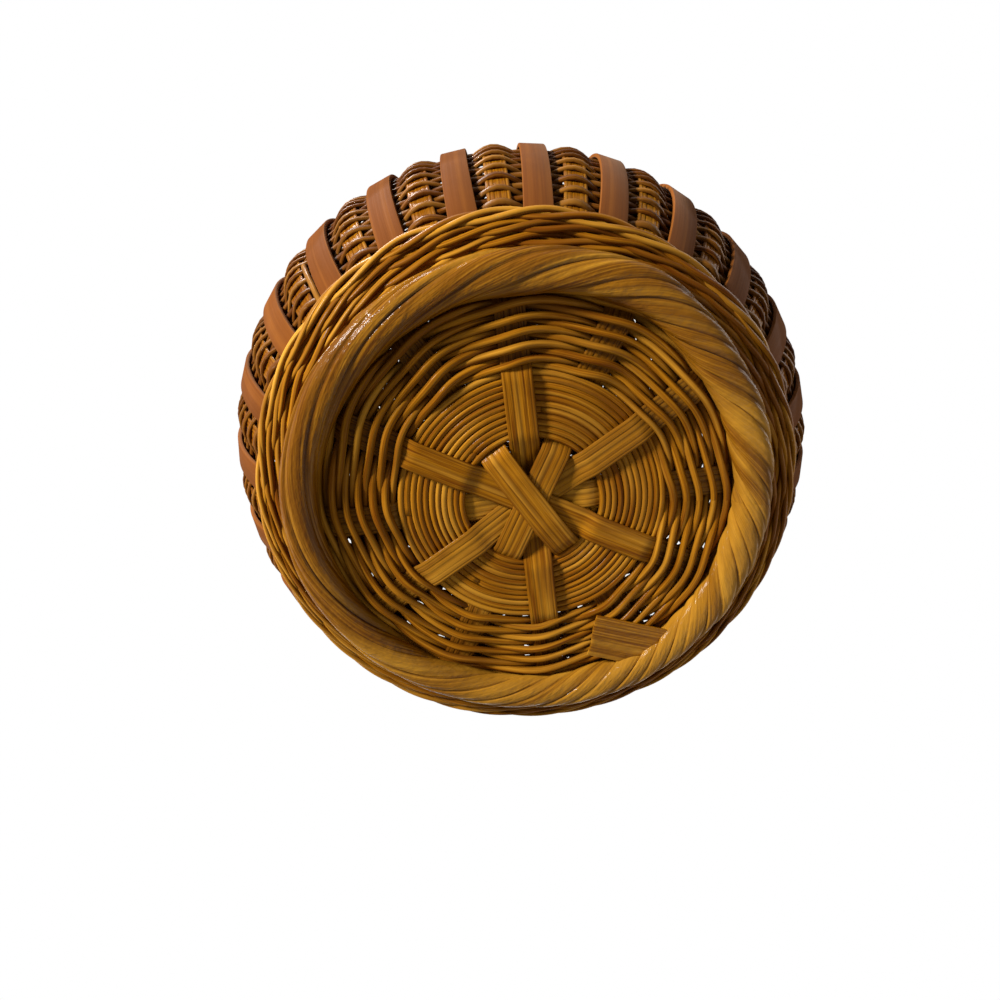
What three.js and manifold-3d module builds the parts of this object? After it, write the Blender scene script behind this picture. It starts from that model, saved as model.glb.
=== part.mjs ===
// Wicker owl basket: a round woven basket on a rope foot, whose lift-off lid is the owl's head.
// Millimetres, +Z up, the origin on the ground under the centre, and the owl looks along -Y.

import * as THREE from 'three';
import { mergeVertices } from 'three/addons/utils/BufferGeometryUtils.js';
import Module from 'manifold-3d';

const wasm = await Module();
wasm.setup();

// Clearances
const gap = 0.3;                    // between pieces that lie on each other
const bandGap = 0.4;                // between a woven band and the rope beside it
const lidClearance = 0.5;           // between the lid's seat ring and the rim, all round

// The strips that cross in the base and climb into the wall
const stripCount = 6;
const stripWidth = 8;
const stripThickness = 0.8;
const stripFirstAngle = -6;         // degrees from +X
const starBottomHeight = 3.6;       // underside of the lowest strip at the very centre
const starEdgeHeight = 4.6;         // underside of the lowest strips where the star opens

// The fine band and the twined rows of the base
const bandLeadIn = 3.0;             // from the star's edge to the first fine row
const bandOuterRadius = 36;
const bandBottomHeight = 5.5;
const bandThickness = 2.0;
const bandTaper = 2.0;              // the last fine rows thin out over this width
const twiningThickness = 1.9;       // one layer of strands
const twiningLeadIn = 2.6;          // from the fine band to the strips' level in the twining

// The foot, a twisted rope that the basket stands on
const footRingRadius = 60;          // to the middle of the rope
const footRopeThickness = 11;
const restFlatDepth = 0.5;          // the rope is pressed flat where it stands

// The tucked end of the strip that the rope was wound with
const tailWidth = 13;
const tailThickness = 1.0;
const tailAside = 34.8;             // from the centre to the strip's middle line, square to it
const tailReach = 26.8;             // along the strip, from that nearest place to the cut end
const tailDirection = 14.4;         // degrees from +X

// The bulging wall
const bodyRadius = 90;              // outside of the wall's weave
const weaveThickness = 2.0;
const wallFootOverhang = 5.4;       // how far the wall's foot stands outside the rope
const mouthRadius = 69.4;
const wallStepCount = 9;            // facets from foot to mouth

// The dark ribs laid over the wall
const ribCount = 24;
const ribWidth = 8;
const ribThickness = 1.2;
const ribTuck = 1.0;                // degrees that each end stops short of the wall's edge

// The bands of waling that hold the ribs' ends
const walingThickness = 2.0;
const walingAngle = 3.0;            // degrees of the wall that each band covers
const rimRopeThickness = 9;

// The head, a lid with a rope border of its own
const lidRopeThickness = 8.6;
const headHeight = 54;              // semi-axis of the dome
const headWeaveThickness = 2.0;
const headRibCount = 10;
const headStepCount = 6;            // facets from the lid's rope to the crown
const seatRingThickness = 2.0;
const seatRingDepth = 7;            // below the middle of the rim's rope
const crownRadius = 16.5;
const crownThickness = 3.2;

// The face
const eyeRadius = 19;
const eyeDepth = 5;
const eyeAside = 20.66;             // from the middle of the face to the eye's centre
const eyeLift = 31;                 // degrees up the dome
const beadRadius = 6.2;
const beadDepth = 5.6;
const beakLength = 12;
const beakWidth = 9;
const beakHeight = 15;
const beakLift = 13;                // degrees up the dome
const earHeight = 25;
const earWidth = 32;
const earDepth = 10;
const earAzimuth = 60;              // degrees to either side of the face's middle
const earLift = 46;                 // degrees up the dome

const ringSides = 48;               // one flat for each rib and one for each stake between
const frontAngle = -90;             // degrees from +X to the owl's face

const radians = THREE.MathUtils.degToRad;
const degrees = THREE.MathUtils.radToDeg;

const finish = (color, roughness) => ({ color, roughness, metalness: 0 });
const goldenCane = finish(0xb07a34, 0.6);
const ropePeel = finish(0xa5722e, 0.62);
const brownRib = finish(0x8a5432, 0.42);
const darkWeave = finish(0x7a4a26, 0.6);
const headWeaveCane = finish(0x9a6a34, 0.6);
const darkBead = finish(0x2c1a10, 0.3);
const beakWood = finish(0x3c2415, 0.38);

function piece(name, geometry, look) {
  const mesh = new THREE.Mesh(geometry, new THREE.MeshStandardMaterial(look));
  mesh.name = name;
  return mesh;
}

// A profile of [radius, height] points, closed and run so that the ring's faces point out.
function outwardProfile(profile) {
  const area = THREE.ShapeUtils.area(profile.map(([r, z]) => new THREE.Vector2(r, z)));
  const ordered = area < 0 ? [...profile].reverse() : profile;
  return [...ordered, ordered[0]];
}

// Turns a profile round the axis. The radii are true at the middle of each flat, and the flats
// face the ribs and the stakes.
const ribFirstAngle = stripFirstAngle - 180 / ribCount;
function ringGeometry(profile) {
  const toCorner = 1 / Math.cos(Math.PI / ringSides);
  const points = outwardProfile(profile).map(([r, z]) => new THREE.Vector2(r * toCorner, z));
  const start = radians(90 + ribFirstAngle + 180 / ringSides);
  const geometry = new THREE.LatheGeometry(points, ringSides, start, Math.PI * 2);
  return geometry.rotateX(Math.PI / 2);
}

function ring(name, profile, look) {
  return piece(name, ringGeometry(profile), look);
}

// Evenly spaced values from one end to the other, count + 1 of them.
function steps(from, to, count) {
  return Array.from({ length: count + 1 }, (unused, i) => from + (to - from) * i / count);
}

function arc(ringRadius, height, radius, from, to, count) {
  return steps(from, to, count).map((angle) => [
    ringRadius + radius * Math.cos(angle),
    height + radius * Math.sin(angle),
  ]);
}

// The section of a rope ring. Its flats touch the true circle, one of them straight above.
function ropeProfile(ringRadius, height, thickness, sides) {
  const corner = thickness / 2 / Math.cos(Math.PI / sides);
  const half = Math.PI / sides;
  return arc(ringRadius, height, corner, half, 2 * Math.PI - half, sides - 1);
}

// The section of a rope ring that is pressed flat on the ground.
function footRopeProfile(ringRadius, height, thickness, sides) {
  const start = Math.asin(-height * 2 / thickness);
  return arc(ringRadius, height, thickness / 2, start, Math.PI - start, sides);
}

function signedVolume(positions, index) {
  const a = new THREE.Vector3();
  const b = new THREE.Vector3();
  const c = new THREE.Vector3();
  let volume = 0;
  for (let i = 0; i < index.length; i += 3) {
    a.fromArray(positions, index[i] * 3);
    b.fromArray(positions, index[i + 1] * 3);
    c.fromArray(positions, index[i + 2] * 3);
    volume += a.dot(b.cross(c)) / 6;
  }
  return volume;
}

// Joins sections of equal point count into one closed solid with flat ends.
function loft(sections) {
  const count = sections[0].length;
  const positions = sections.flat(2);
  const index = [];
  for (let s = 0; s + 1 < sections.length; s++) {
    for (let i = 0; i < count; i++) {
      const a = s * count + i;
      const b = s * count + (i + 1) % count;
      index.push(a, b, a + count, b, b + count, a + count);
    }
  }
  const last = (sections.length - 1) * count;
  for (let i = 1; i + 1 < count; i++) {
    index.push(0, i + 1, i);
    index.push(last, last + i, last + i + 1);
  }
  if (signedVolume(positions, index) < 0) {
    index.reverse();
  }
  const geometry = new THREE.BufferGeometry();
  geometry.setAttribute('position', new THREE.Float32BufferAttribute(positions, 3));
  geometry.setIndex(index);
  geometry.computeVertexNormals();
  return geometry;
}

function toSolid(geometry) {
  const bare = geometry.clone();
  bare.deleteAttribute('normal');
  bare.deleteAttribute('uv');
  const merged = mergeVertices(bare, 1e-4);
  return new wasm.Manifold(new wasm.Mesh({
    numProp: 3,
    vertProperties: new Float32Array(merged.attributes.position.array),
    triVerts: new Uint32Array(merged.index.array),
  }));
}

function fromSolid(solid) {
  const { vertProperties, triVerts } = solid.getMesh();
  const geometry = new THREE.BufferGeometry();
  geometry.setAttribute('position', new THREE.BufferAttribute(vertProperties, 3));
  geometry.setIndex(new THREE.BufferAttribute(triVerts, 1));
  geometry.computeVertexNormals();
  return geometry;
}

// Straight lines through [x, y] points, level beyond both ends.
function levelAt(points, x) {
  const after = points.findIndex(([px]) => px >= x);
  if (after === 0) return points[0][1];
  if (after < 0) return points.at(-1)[1];
  const [x0, y0] = points[after - 1];
  const [x1, y1] = points[after];
  return y0 + (y1 - y0) * (x - x0) / (x1 - x0);
}

// Heights in the base. Three strips run under the fine band and three over it, and all of them
// run between the two layers of the twining.
const layerPitch = stripThickness + gap;
const halfPitch = Math.PI / stripCount / 2;
const stackRadius = stripWidth / 2 / Math.sin(2 * halfPitch);
const starRadius = stripWidth / 2 / Math.sin(halfPitch) + gap;
const bandInnerRadius = starRadius + bandLeadIn + bandGap;
const bandTopHeight = bandBottomHeight + bandThickness;
const underBandHeight = bandBottomHeight - gap - stripThickness;
const overBandHeight = bandTopHeight + gap;
const spokeHeight = (underBandHeight + overBandHeight) / 2 + gap / 3;
const twiningStartRadius = bandOuterRadius + twiningLeadIn;
const outerStrandTop = spokeHeight - gap;
const outerStrandBottom = outerStrandTop - twiningThickness;
const innerStrandBottom = spokeHeight + stripThickness + gap;
const innerStrandTop = innerStrandBottom + twiningThickness;

// Where the strips climb over the foot's rope: a polygon that stays clear of its section.
const footRopeRadius = footRopeThickness / 2;
const footRopeHeight = footRopeRadius - restFlatDepth;
const climbRadius = footRopeRadius + gap;
const climbAngles = [145, 118, 90];
const climbSlack = 1 / Math.cos(radians(14));
const climb = climbAngles.map((angle) => [
  footRingRadius + climbRadius * climbSlack * Math.cos(radians(angle)),
  footRopeHeight + climbRadius * climbSlack * Math.sin(radians(angle)),
]);
const climbStartRadius = climb[0][0] - (climb[0][1] - spokeHeight);
const shoulderHeight = climb.at(-1)[1];

// The wall is part of a ball that starts just outside the rope, on top of the strips' ends.
const wallFootRadius = footRingRadius + footRopeRadius + wallFootOverhang;
const wallFootHeight = shoulderHeight + stripThickness + gap;
const wallFootAngle = degrees(Math.asin(wallFootRadius / bodyRadius));
const mouthAngle = 180 - degrees(Math.asin(mouthRadius / bodyRadius));
const bodyCentreHeight = wallFootHeight + bodyRadius * Math.cos(radians(wallFootAngle));
const wallInnerRadius = bodyRadius - weaveThickness;
const ribInnerRadius = bodyRadius + gap;
const ribOuterRadius = ribInnerRadius + ribThickness;
const walingInnerRadius = ribOuterRadius + gap;
const walingOuterRadius = walingInnerRadius + walingThickness;
const stripEndRadius = wallFootRadius - 2 * gap;

// A point at an angle up from straight down, on a ball about the body's centre.
function onBody(radius, angle) {
  const turn = radians(angle);
  return [radius * Math.sin(turn), bodyCentreHeight - radius * Math.cos(turn)];
}

// Places of the strips in the stack, from the lowest up, and at the star's edge.
const strips = [
  { name: 'base_strip_1', turn: 4, layer: 0, edgeLayer: 0, underBand: false },
  { name: 'base_strip_2', turn: 2, layer: 1, edgeLayer: 0, underBand: false },
  { name: 'base_strip_3', turn: 5, layer: 2, edgeLayer: 1, underBand: true },
  { name: 'base_strip_4', turn: 1, layer: 3, edgeLayer: 1, underBand: true },
  { name: 'base_strip_5', turn: 0, layer: 4, edgeLayer: 2, underBand: false },
  { name: 'base_strip_6', turn: 3, layer: 5, edgeLayer: 1, underBand: true },
];

function stripRoute({ layer, edgeLayer, underBand }) {
  const bandHeight = underBand ? underBandHeight : overBandHeight;
  const leaveBand = underBand ? bandOuterRadius - bandTaper : bandOuterRadius - bandTaper / 2;
  return [
    [stackRadius, starBottomHeight + layer * layerPitch],
    [starRadius, starEdgeHeight + edgeLayer * layerPitch],
    [starRadius + bandLeadIn, bandHeight],
    [leaveBand, bandHeight],
    [twiningStartRadius, spokeHeight],
    [climbStartRadius, spokeHeight],
    ...climb,
    [stripEndRadius, shoulderHeight],
  ];
}

function baseStrip(strip) {
  const route = stripRoute(strip);
  const half = stripWidth / 2;
  const edgeAtStar = Math.sqrt(starRadius ** 2 - half ** 2);
  const arm = [0, edgeAtStar, ...route.map(([radius]) => radius)];
  arm.sort((a, b) => a - b);
  const stations = [...arm.slice(1).reverse().map((radius) => -radius), ...arm];
  const sections = stations.map((along) => {
    const under = [-half, 0, half].map((across) => {
      return [along, across, levelAt(route, Math.hypot(along, across))];
    });
    const over = [...under].reverse().map(([x, y, z]) => [x, y, z + stripThickness]);
    return [...under, ...over];
  });
  const mesh = piece(strip.name, loft(sections), goldenCane);
  mesh.rotation.z = radians(stripFirstAngle - strip.turn * 180 / stripCount);
  return mesh;
}

const baseBand = ring('base_band', [
  [bandInnerRadius, bandBottomHeight],
  [bandOuterRadius - bandTaper, bandBottomHeight],
  [bandOuterRadius, bandBottomHeight + bandThickness * 0.4],
  [bandOuterRadius, bandTopHeight - bandThickness * 0.3],
  [bandOuterRadius - bandTaper / 2, bandTopHeight],
  [bandInnerRadius, bandTopHeight],
], goldenCane);

const twiningInnerRadius = bandOuterRadius + 2 * gap;
const twiningOutside = ring('twining_outside', [
  [twiningInnerRadius, outerStrandBottom],
  [footRingRadius - footRopeRadius - bandGap, outerStrandBottom],
  [footRingRadius - footRopeRadius - bandGap, outerStrandTop],
  [twiningStartRadius, outerStrandTop],
  [twiningInnerRadius, outerStrandBottom + twiningThickness / 2],
], goldenCane);

// The inner layer goes on over the strips to the foot of the wall and closes the corner there.
const slopeGap = gap * Math.SQRT2;
const cornerUnder = [
  [climbStartRadius - gap, innerStrandBottom],
  ...climb.map(([r, z]) => [r - gap, z + stripThickness + slopeGap]),
];
const cornerEndRadius = wallFootRadius - weaveThickness;
const twiningInside = ring('twining_inside', [
  [twiningInnerRadius, innerStrandBottom + twiningThickness / 2],
  [twiningStartRadius, innerStrandBottom],
  ...cornerUnder,
  [cornerEndRadius, cornerUnder.at(-1)[1]],
  [cornerEndRadius, cornerUnder.at(-1)[1] + twiningThickness],
  [climb[1][0], cornerUnder.at(-1)[1] + twiningThickness],
  [climb[0][0] - twiningThickness, climb[0][1] + twiningThickness],
  [climbStartRadius - twiningThickness, innerStrandTop],
  [twiningInnerRadius + gap, innerStrandTop],
], goldenCane);

const footRope = ring(
  'foot_rope',
  footRopeProfile(footRingRadius, footRopeHeight, footRopeThickness, 9),
  ropePeel,
);

// The tail comes out from under the rope, crosses the twining aslant and is cut off square.
function ropeTail() {
  const bottom = outerStrandBottom - gap - tailThickness;
  const rise = footRopeHeight - bottom;
  const reach = footRingRadius - Math.sqrt(footRopeRadius ** 2 - rise ** 2) - bandGap;
  const sides = steps(tailAside - tailWidth / 2, tailAside + tailWidth / 2, 5);
  const outline = new THREE.Shape([
    new THREE.Vector2(tailReach, sides.at(-1)),
    new THREE.Vector2(tailReach, sides[0]),
    ...sides.map((side) => new THREE.Vector2(Math.sqrt(reach ** 2 - side ** 2), side)),
  ]);
  const geometry = new THREE.ExtrudeGeometry(outline, {
    depth: tailThickness,
    bevelEnabled: false,
  });
  const mesh = piece('rope_tail', geometry, ropePeel);
  mesh.position.z = bottom;
  mesh.rotation.z = radians(tailDirection);
  return mesh;
}

const lowWalingTop = wallFootAngle + walingAngle;
const highWalingBottom = mouthAngle - walingAngle - 2 * ribTuck;
const walingFoot = degrees(Math.acos((bodyCentreHeight - footRopeHeight) / walingOuterRadius));
const lowerWaling = ring('lower_waling', [
  [footRingRadius + climbRadius + gap / 2, footRopeHeight],
  [footRingRadius + climbRadius * 0.88, footRopeHeight + climbRadius * 0.6],
  [footRingRadius + climbRadius * 0.6, shoulderHeight - 2 * gap],
  [stripEndRadius + gap / 2, shoulderHeight - 2 * gap],
  [stripEndRadius + 2 * gap, shoulderHeight + gap],
  onBody(walingInnerRadius, wallFootAngle + gap / 2),
  onBody(walingInnerRadius, lowWalingTop),
  onBody(walingOuterRadius, lowWalingTop),
  onBody(walingOuterRadius, (lowWalingTop + walingFoot) / 2),
  onBody(walingOuterRadius, walingFoot),
], goldenCane);

// Ribs and wall turn through the same angles, so a rib lies flat on its strip of the wall.
const ribFootAngle = wallFootAngle + ribTuck;
const ribEndAngle = mouthAngle - ribTuck;
const wallAngles = [
  wallFootAngle,
  ...steps(ribFootAngle, ribEndAngle, wallStepCount),
  mouthAngle,
];
const wallWeave = ring('wall_weave', [
  ...wallAngles.map((angle) => onBody(bodyRadius, angle)),
  ...steps(mouthAngle, wallFootAngle, wallStepCount).map((angle) => {
    return onBody(wallInnerRadius, angle);
  }),
], darkWeave);

// A flat strip bent along [radius, height] pairs of inner and outer points.
function bentStrip(name, inner, outer, width, look) {
  const half = width / 2;
  const sections = inner.map(([r, z], i) => {
    const [outerR, outerZ] = outer[i];
    return [[r, -half, z], [r, half, z], [outerR, half, outerZ], [outerR, -half, outerZ]];
  });
  return piece(name, loft(sections), look);
}

function wallRib(number) {
  const angles = steps(ribFootAngle, ribEndAngle, wallStepCount);
  const inner = angles.map((angle) => onBody(ribInnerRadius, angle));
  const outer = angles.map((angle) => onBody(ribOuterRadius, angle));
  const name = `wall_rib_${String(number + 1).padStart(2, '0')}`;
  const mesh = bentStrip(name, inner, outer, ribWidth, brownRib);
  mesh.rotation.z = radians(ribFirstAngle - number * 360 / ribCount);
  return mesh;
}

const upperWaling = ring('upper_waling', [
  onBody(walingInnerRadius, highWalingBottom),
  onBody(walingInnerRadius, mouthAngle),
  onBody(walingOuterRadius, mouthAngle),
  onBody(walingOuterRadius, highWalingBottom),
], goldenCane);

// The rim's rope lies on the wall's edge and on the end of the waling.
const rimRopeRadius = rimRopeThickness / 2;
const rimTurn = degrees(2 * Math.asin((rimRopeRadius + gap) / 2 / walingInnerRadius));
const [rimRingRadius, rimRopeHeight] = onBody(walingInnerRadius, mouthAngle + rimTurn);
const rimRope = ring(
  'rim_rope',
  ropeProfile(rimRingRadius, rimRopeHeight, rimRopeThickness, 8),
  ropePeel,
);

// The lid's rope stands on the rim's rope, and the head's dome stands on the lid's rope.
const lidRopeRadius = lidRopeThickness / 2;
const lidRopeHeight = rimRopeHeight + rimRopeRadius + gap + lidRopeRadius;
const lidRope = ring(
  'lid_rope',
  ropeProfile(rimRingRadius, lidRopeHeight, lidRopeThickness, 8),
  ropePeel,
);

const seatOuterRadius = rimRingRadius - rimRopeRadius - lidClearance;
const seatRing = ring('lid_seat_ring', [
  [seatOuterRadius - seatRingThickness, rimRopeHeight - seatRingDepth],
  [seatOuterRadius, rimRopeHeight - seatRingDepth],
  [seatOuterRadius, lidRopeHeight + lidRopeRadius / 2],
  [seatOuterRadius - seatRingThickness, lidRopeHeight + lidRopeRadius / 2],
], goldenCane);

const headFootHeight = lidRopeHeight + lidRopeRadius + gap;
const headRadius = rimRingRadius + headWeaveThickness / 2;

// A point on the head, grown outwards by a distance, at an angle up from its foot.
function onHead(growth, angle) {
  const turn = radians(angle);
  return [
    (headRadius + growth) * Math.cos(turn),
    headFootHeight + (headHeight + growth) * Math.sin(turn),
  ];
}

// The head's ribs stop where they would run into each other, under the crown.
const crownMeet = ribWidth / 2 / Math.tan(Math.PI / headRibCount) + 2 * gap;
const headRibEnd = degrees(Math.acos(crownMeet / (headRadius + gap)));
const headRibAngles = [
  ...steps(0, 90, headStepCount + 1).filter((angle) => angle < headRibEnd),
  headRibEnd,
];
const headAngles = [...headRibAngles, 90];
const headInnerAngles = steps(90, 0, headStepCount);
const headWeave = ring('head_weave', [
  ...headAngles.map((angle) => onHead(0, angle)),
  ...headInnerAngles.map((angle) => onHead(-headWeaveThickness, angle)),
], headWeaveCane);

function headRib(number) {
  const inner = headRibAngles.map((angle) => onHead(gap, angle));
  const outer = headRibAngles.map((angle) => onHead(gap + ribThickness, angle));
  const name = `head_rib_${String(number + 1).padStart(2, '0')}`;
  const mesh = bentStrip(name, inner, outer, ribWidth, brownRib);
  mesh.rotation.z = radians(frontAngle + (number + 0.5) * 360 / headRibCount);
  return mesh;
}

// What is sewn to the head is hollowed at the back, to lie on the ribs or on the weave.
const overRibs = gap + ribThickness + gap;
const overWeave = gap;
function seatOnHead(mesh, growth) {
  mesh.updateMatrix();
  const head = ringGeometry([
    [0, headFootHeight],
    ...headAngles.map((angle) => onHead(growth, angle)),
  ]);
  head.applyMatrix4(mesh.matrix.clone().invert());
  mesh.geometry = fromSolid(toSolid(mesh.geometry).subtract(toSolid(head)));
  return mesh;
}

// Puts a mesh on the head, its own +Z away from the head and its own +Y up, then spins it.
function placeOnHead(mesh, azimuth, lift, growth, spin = 0) {
  const turn = radians(frontAngle + azimuth);
  const rise = radians(lift);
  const [radius, height] = onHead(growth, lift);
  const outwards = new THREE.Vector3(
    Math.cos(rise) * Math.cos(turn) / headRadius,
    Math.cos(rise) * Math.sin(turn) / headRadius,
    Math.sin(rise) / headHeight,
  ).normalize();
  const across = new THREE.Vector3(-Math.sin(turn), Math.cos(turn), 0);
  const up = outwards.clone().cross(across);
  mesh.quaternion.setFromRotationMatrix(new THREE.Matrix4().makeBasis(across, up, outwards));
  mesh.rotateZ(radians(spin));
  mesh.position.set(radius * Math.cos(turn), radius * Math.sin(turn), height);
  return seatOnHead(mesh, growth);
}

// Turns [radius, height] points, from axis to axis or closed, about the mesh's own +Z.
function turned(profile, sides) {
  const points = profile.map(([r, z]) => new THREE.Vector2(r, z));
  return new THREE.LatheGeometry(points, sides).rotateX(Math.PI / 2);
}

const headTopHeight = headFootHeight + headHeight;
const crown = seatOnHead(piece('crown_coil', turned([
  [0, headTopHeight - crownThickness],
  [crownRadius, headTopHeight - crownThickness],
  [crownRadius, headTopHeight + crownThickness / 2],
  [crownRadius - crownThickness, headTopHeight + overRibs + crownThickness * 0.8],
  [0, headTopHeight + overRibs + crownThickness],
], 24), goldenCane), overRibs);

// An eye is a coiled ring of cane, dished towards the hole that holds the bead.
const eyeHoleRadius = beadRadius + gap;
const eyeProfile = [
  [eyeHoleRadius, -eyeDepth],
  [eyeRadius, -eyeDepth],
  [eyeRadius, eyeDepth * 0.35],
  [eyeRadius - eyeDepth * 0.35, eyeDepth * 0.6],
  [eyeHoleRadius + eyeDepth * 0.5, eyeDepth * 0.4],
  [eyeHoleRadius, eyeDepth * 0.2],
  [eyeHoleRadius, -eyeDepth],
];
const beadProfile = [
  [0, -beadDepth],
  [beadRadius, -beadDepth],
  [beadRadius, 0],
  ...steps(15, 75, 3).map((angle) => {
    return [beadRadius * Math.cos(radians(angle)), beadDepth * Math.sin(radians(angle))];
  }),
  [0, beadDepth],
];

// On a smaller head the eyes sit further round it, and stay as far from each other.
const eyeAzimuth = degrees(Math.asin(eyeAside / onHead(overRibs, eyeLift)[0]));
function eye(side, direction) {
  const coil = piece(`${side}_eye_coil`, turned(eyeProfile, 20), goldenCane);
  const bead = piece(`${side}_eye_bead`, turned(beadProfile, 12), darkBead);
  const azimuth = direction * eyeAzimuth;
  return [coil, bead].map((mesh) => placeOnHead(mesh, azimuth, eyeLift, overRibs));
}

// An oval section of a loft, in the plane of a height along +Z.
function oval(width, depth, x, y, z, sides) {
  return steps(0, 2 * Math.PI, sides).slice(0, sides).map((turn) => {
    return [x + width / 2 * Math.cos(turn), y + depth / 2 * Math.sin(turn), z];
  });
}

// The beak is broad at the face and hooks down to a point.
const beakBack = -beakLength / 3;
const beak = placeOnHead(piece('beak', loft([
  oval(beakWidth, beakHeight, 0, 0, beakBack, 8),
  oval(beakWidth, beakHeight, 0, 0, beakLength * 0.2, 8),
  oval(beakWidth * 0.75, beakHeight * 0.72, 0, -beakHeight * 0.12, beakLength * 0.6, 8),
  oval(beakWidth * 0.3, beakHeight * 0.3, 0, -beakHeight * 0.42, beakLength, 8),
]), beakWood), 0, beakLift, overWeave);

// An ear is a flat tuft that faces forwards and tapers to a tip above the head.
const earSides = 10;
const earRoot = -earHeight * 0.5;
function earTuft(side, direction) {
  const lean = -direction * earWidth;
  const mesh = piece(`${side}_ear_tuft`, loft([
    oval(earWidth, earDepth, 0, 0, earRoot, earSides),
    oval(earWidth, earDepth, 0, 0, 0, earSides),
    oval(earWidth * 0.7, earDepth * 0.8, lean * 0.06, 0, earHeight * 0.5, earSides),
    oval(earWidth * 0.4, earDepth * 0.6, lean * 0.13, 0, earHeight * 0.8, earSides),
    oval(earWidth * 0.12, earDepth * 0.3, lean * 0.2, 0, earHeight, earSides),
  ]), goldenCane);
  const azimuth = direction * earAzimuth;
  return placeOnHead(mesh, azimuth, earLift, overRibs, -azimuth);
}

const basket = new THREE.Group();
basket.add(...strips.map(baseStrip));
basket.add(baseBand, twiningOutside, twiningInside, footRope, ropeTail());
basket.add(lowerWaling, wallWeave, upperWaling, rimRope);
basket.add(...Array.from({ length: ribCount }, (unused, number) => wallRib(number)));

const lid = new THREE.Group();
lid.add(lidRope, seatRing, headWeave, crown, beak);
lid.add(earTuft('left', 1), earTuft('right', -1));
lid.add(...eye('left', 1), ...eye('right', -1));
lid.add(...Array.from({ length: headRibCount }, (unused, number) => headRib(number)));

const owlBasket = new THREE.Group();
owlBasket.add(basket, lid);

export default owlBasket;
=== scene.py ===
"""Looks for the wicker owl basket: its cane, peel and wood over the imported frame.

The basket stands on z = 0 and the owl looks along -Y. Sizes are written in millimetres and turned
into metres where a mesh is made. Woven pieces are swept along the paths that a weaver's hand gives
them; bent strips, beads, beak and floor are modelled with Blender's own tools.
"""
import logging
import math
from contextlib import contextmanager
from dataclasses import dataclass
from enum import Enum
from functools import cache
from typing import Callable, Iterator, NamedTuple, Sequence

import bpy
import numpy as np
from mathutils import Matrix, Vector


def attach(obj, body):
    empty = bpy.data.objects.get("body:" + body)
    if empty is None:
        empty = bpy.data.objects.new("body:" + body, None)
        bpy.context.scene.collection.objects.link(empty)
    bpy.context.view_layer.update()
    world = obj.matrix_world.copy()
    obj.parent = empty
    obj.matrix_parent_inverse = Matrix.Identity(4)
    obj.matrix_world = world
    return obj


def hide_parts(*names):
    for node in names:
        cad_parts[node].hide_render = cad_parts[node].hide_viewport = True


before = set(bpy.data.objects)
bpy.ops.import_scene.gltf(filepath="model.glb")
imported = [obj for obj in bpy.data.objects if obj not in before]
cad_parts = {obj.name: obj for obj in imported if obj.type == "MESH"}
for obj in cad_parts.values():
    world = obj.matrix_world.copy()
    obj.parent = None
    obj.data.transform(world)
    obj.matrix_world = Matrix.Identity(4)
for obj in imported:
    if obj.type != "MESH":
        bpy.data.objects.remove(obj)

Colour = tuple[float, float, float]
Socket = bpy.types.NodeSocket
Numbers = np.ndarray | float

LOG = logging.getLogger("owl basket")
MM = 0.001
TAU = 2 * math.pi
UP = np.array([0.0, 0.0, 1.0])
DOWN = np.array([0.0, 0.0, -1.0])
FRONT = -90.0               # degrees from +X to the owl's face
SPOKES = 12                 # of the base: six strips, each with two ends
FIRST_SPOKE = -6.0          # degrees from +X to the first of them
STRAND_SHIFT = 173.0        # mm that each strand's grain lies further along than the last one's
# The sides of a strand get painted shade, where it lies against the next one.
PAINTED_SIDE_SHADE = 0.45           # how dark a strand's sides are, where it lies against the next one


class Body(Enum):
    """The two bodies that pieces ride on."""

    BASKET = "basket"
    LID = "lid"


class Slot(Enum):
    """The record's material slots."""

    GOLDEN_CANE = "golden_cane"
    ROPE_PEEL = "rope_peel"
    DARK_WEAVE = "dark_weave"
    BROWN_RIB = "brown_rib"
    HEAD_WEAVE = "head_weave"
    DARK_BEAD = "dark_bead"
    BEAK_WOOD = "beak_wood"


class Twist(Enum):
    """Which way strands turn about each other."""

    S = -1
    Z = 1


# Materials


def rgba(colour: Colour) -> tuple[float, float, float, float]:
    """Adds an alpha of one to a linear colour."""
    return (*colour, 1.0)


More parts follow.
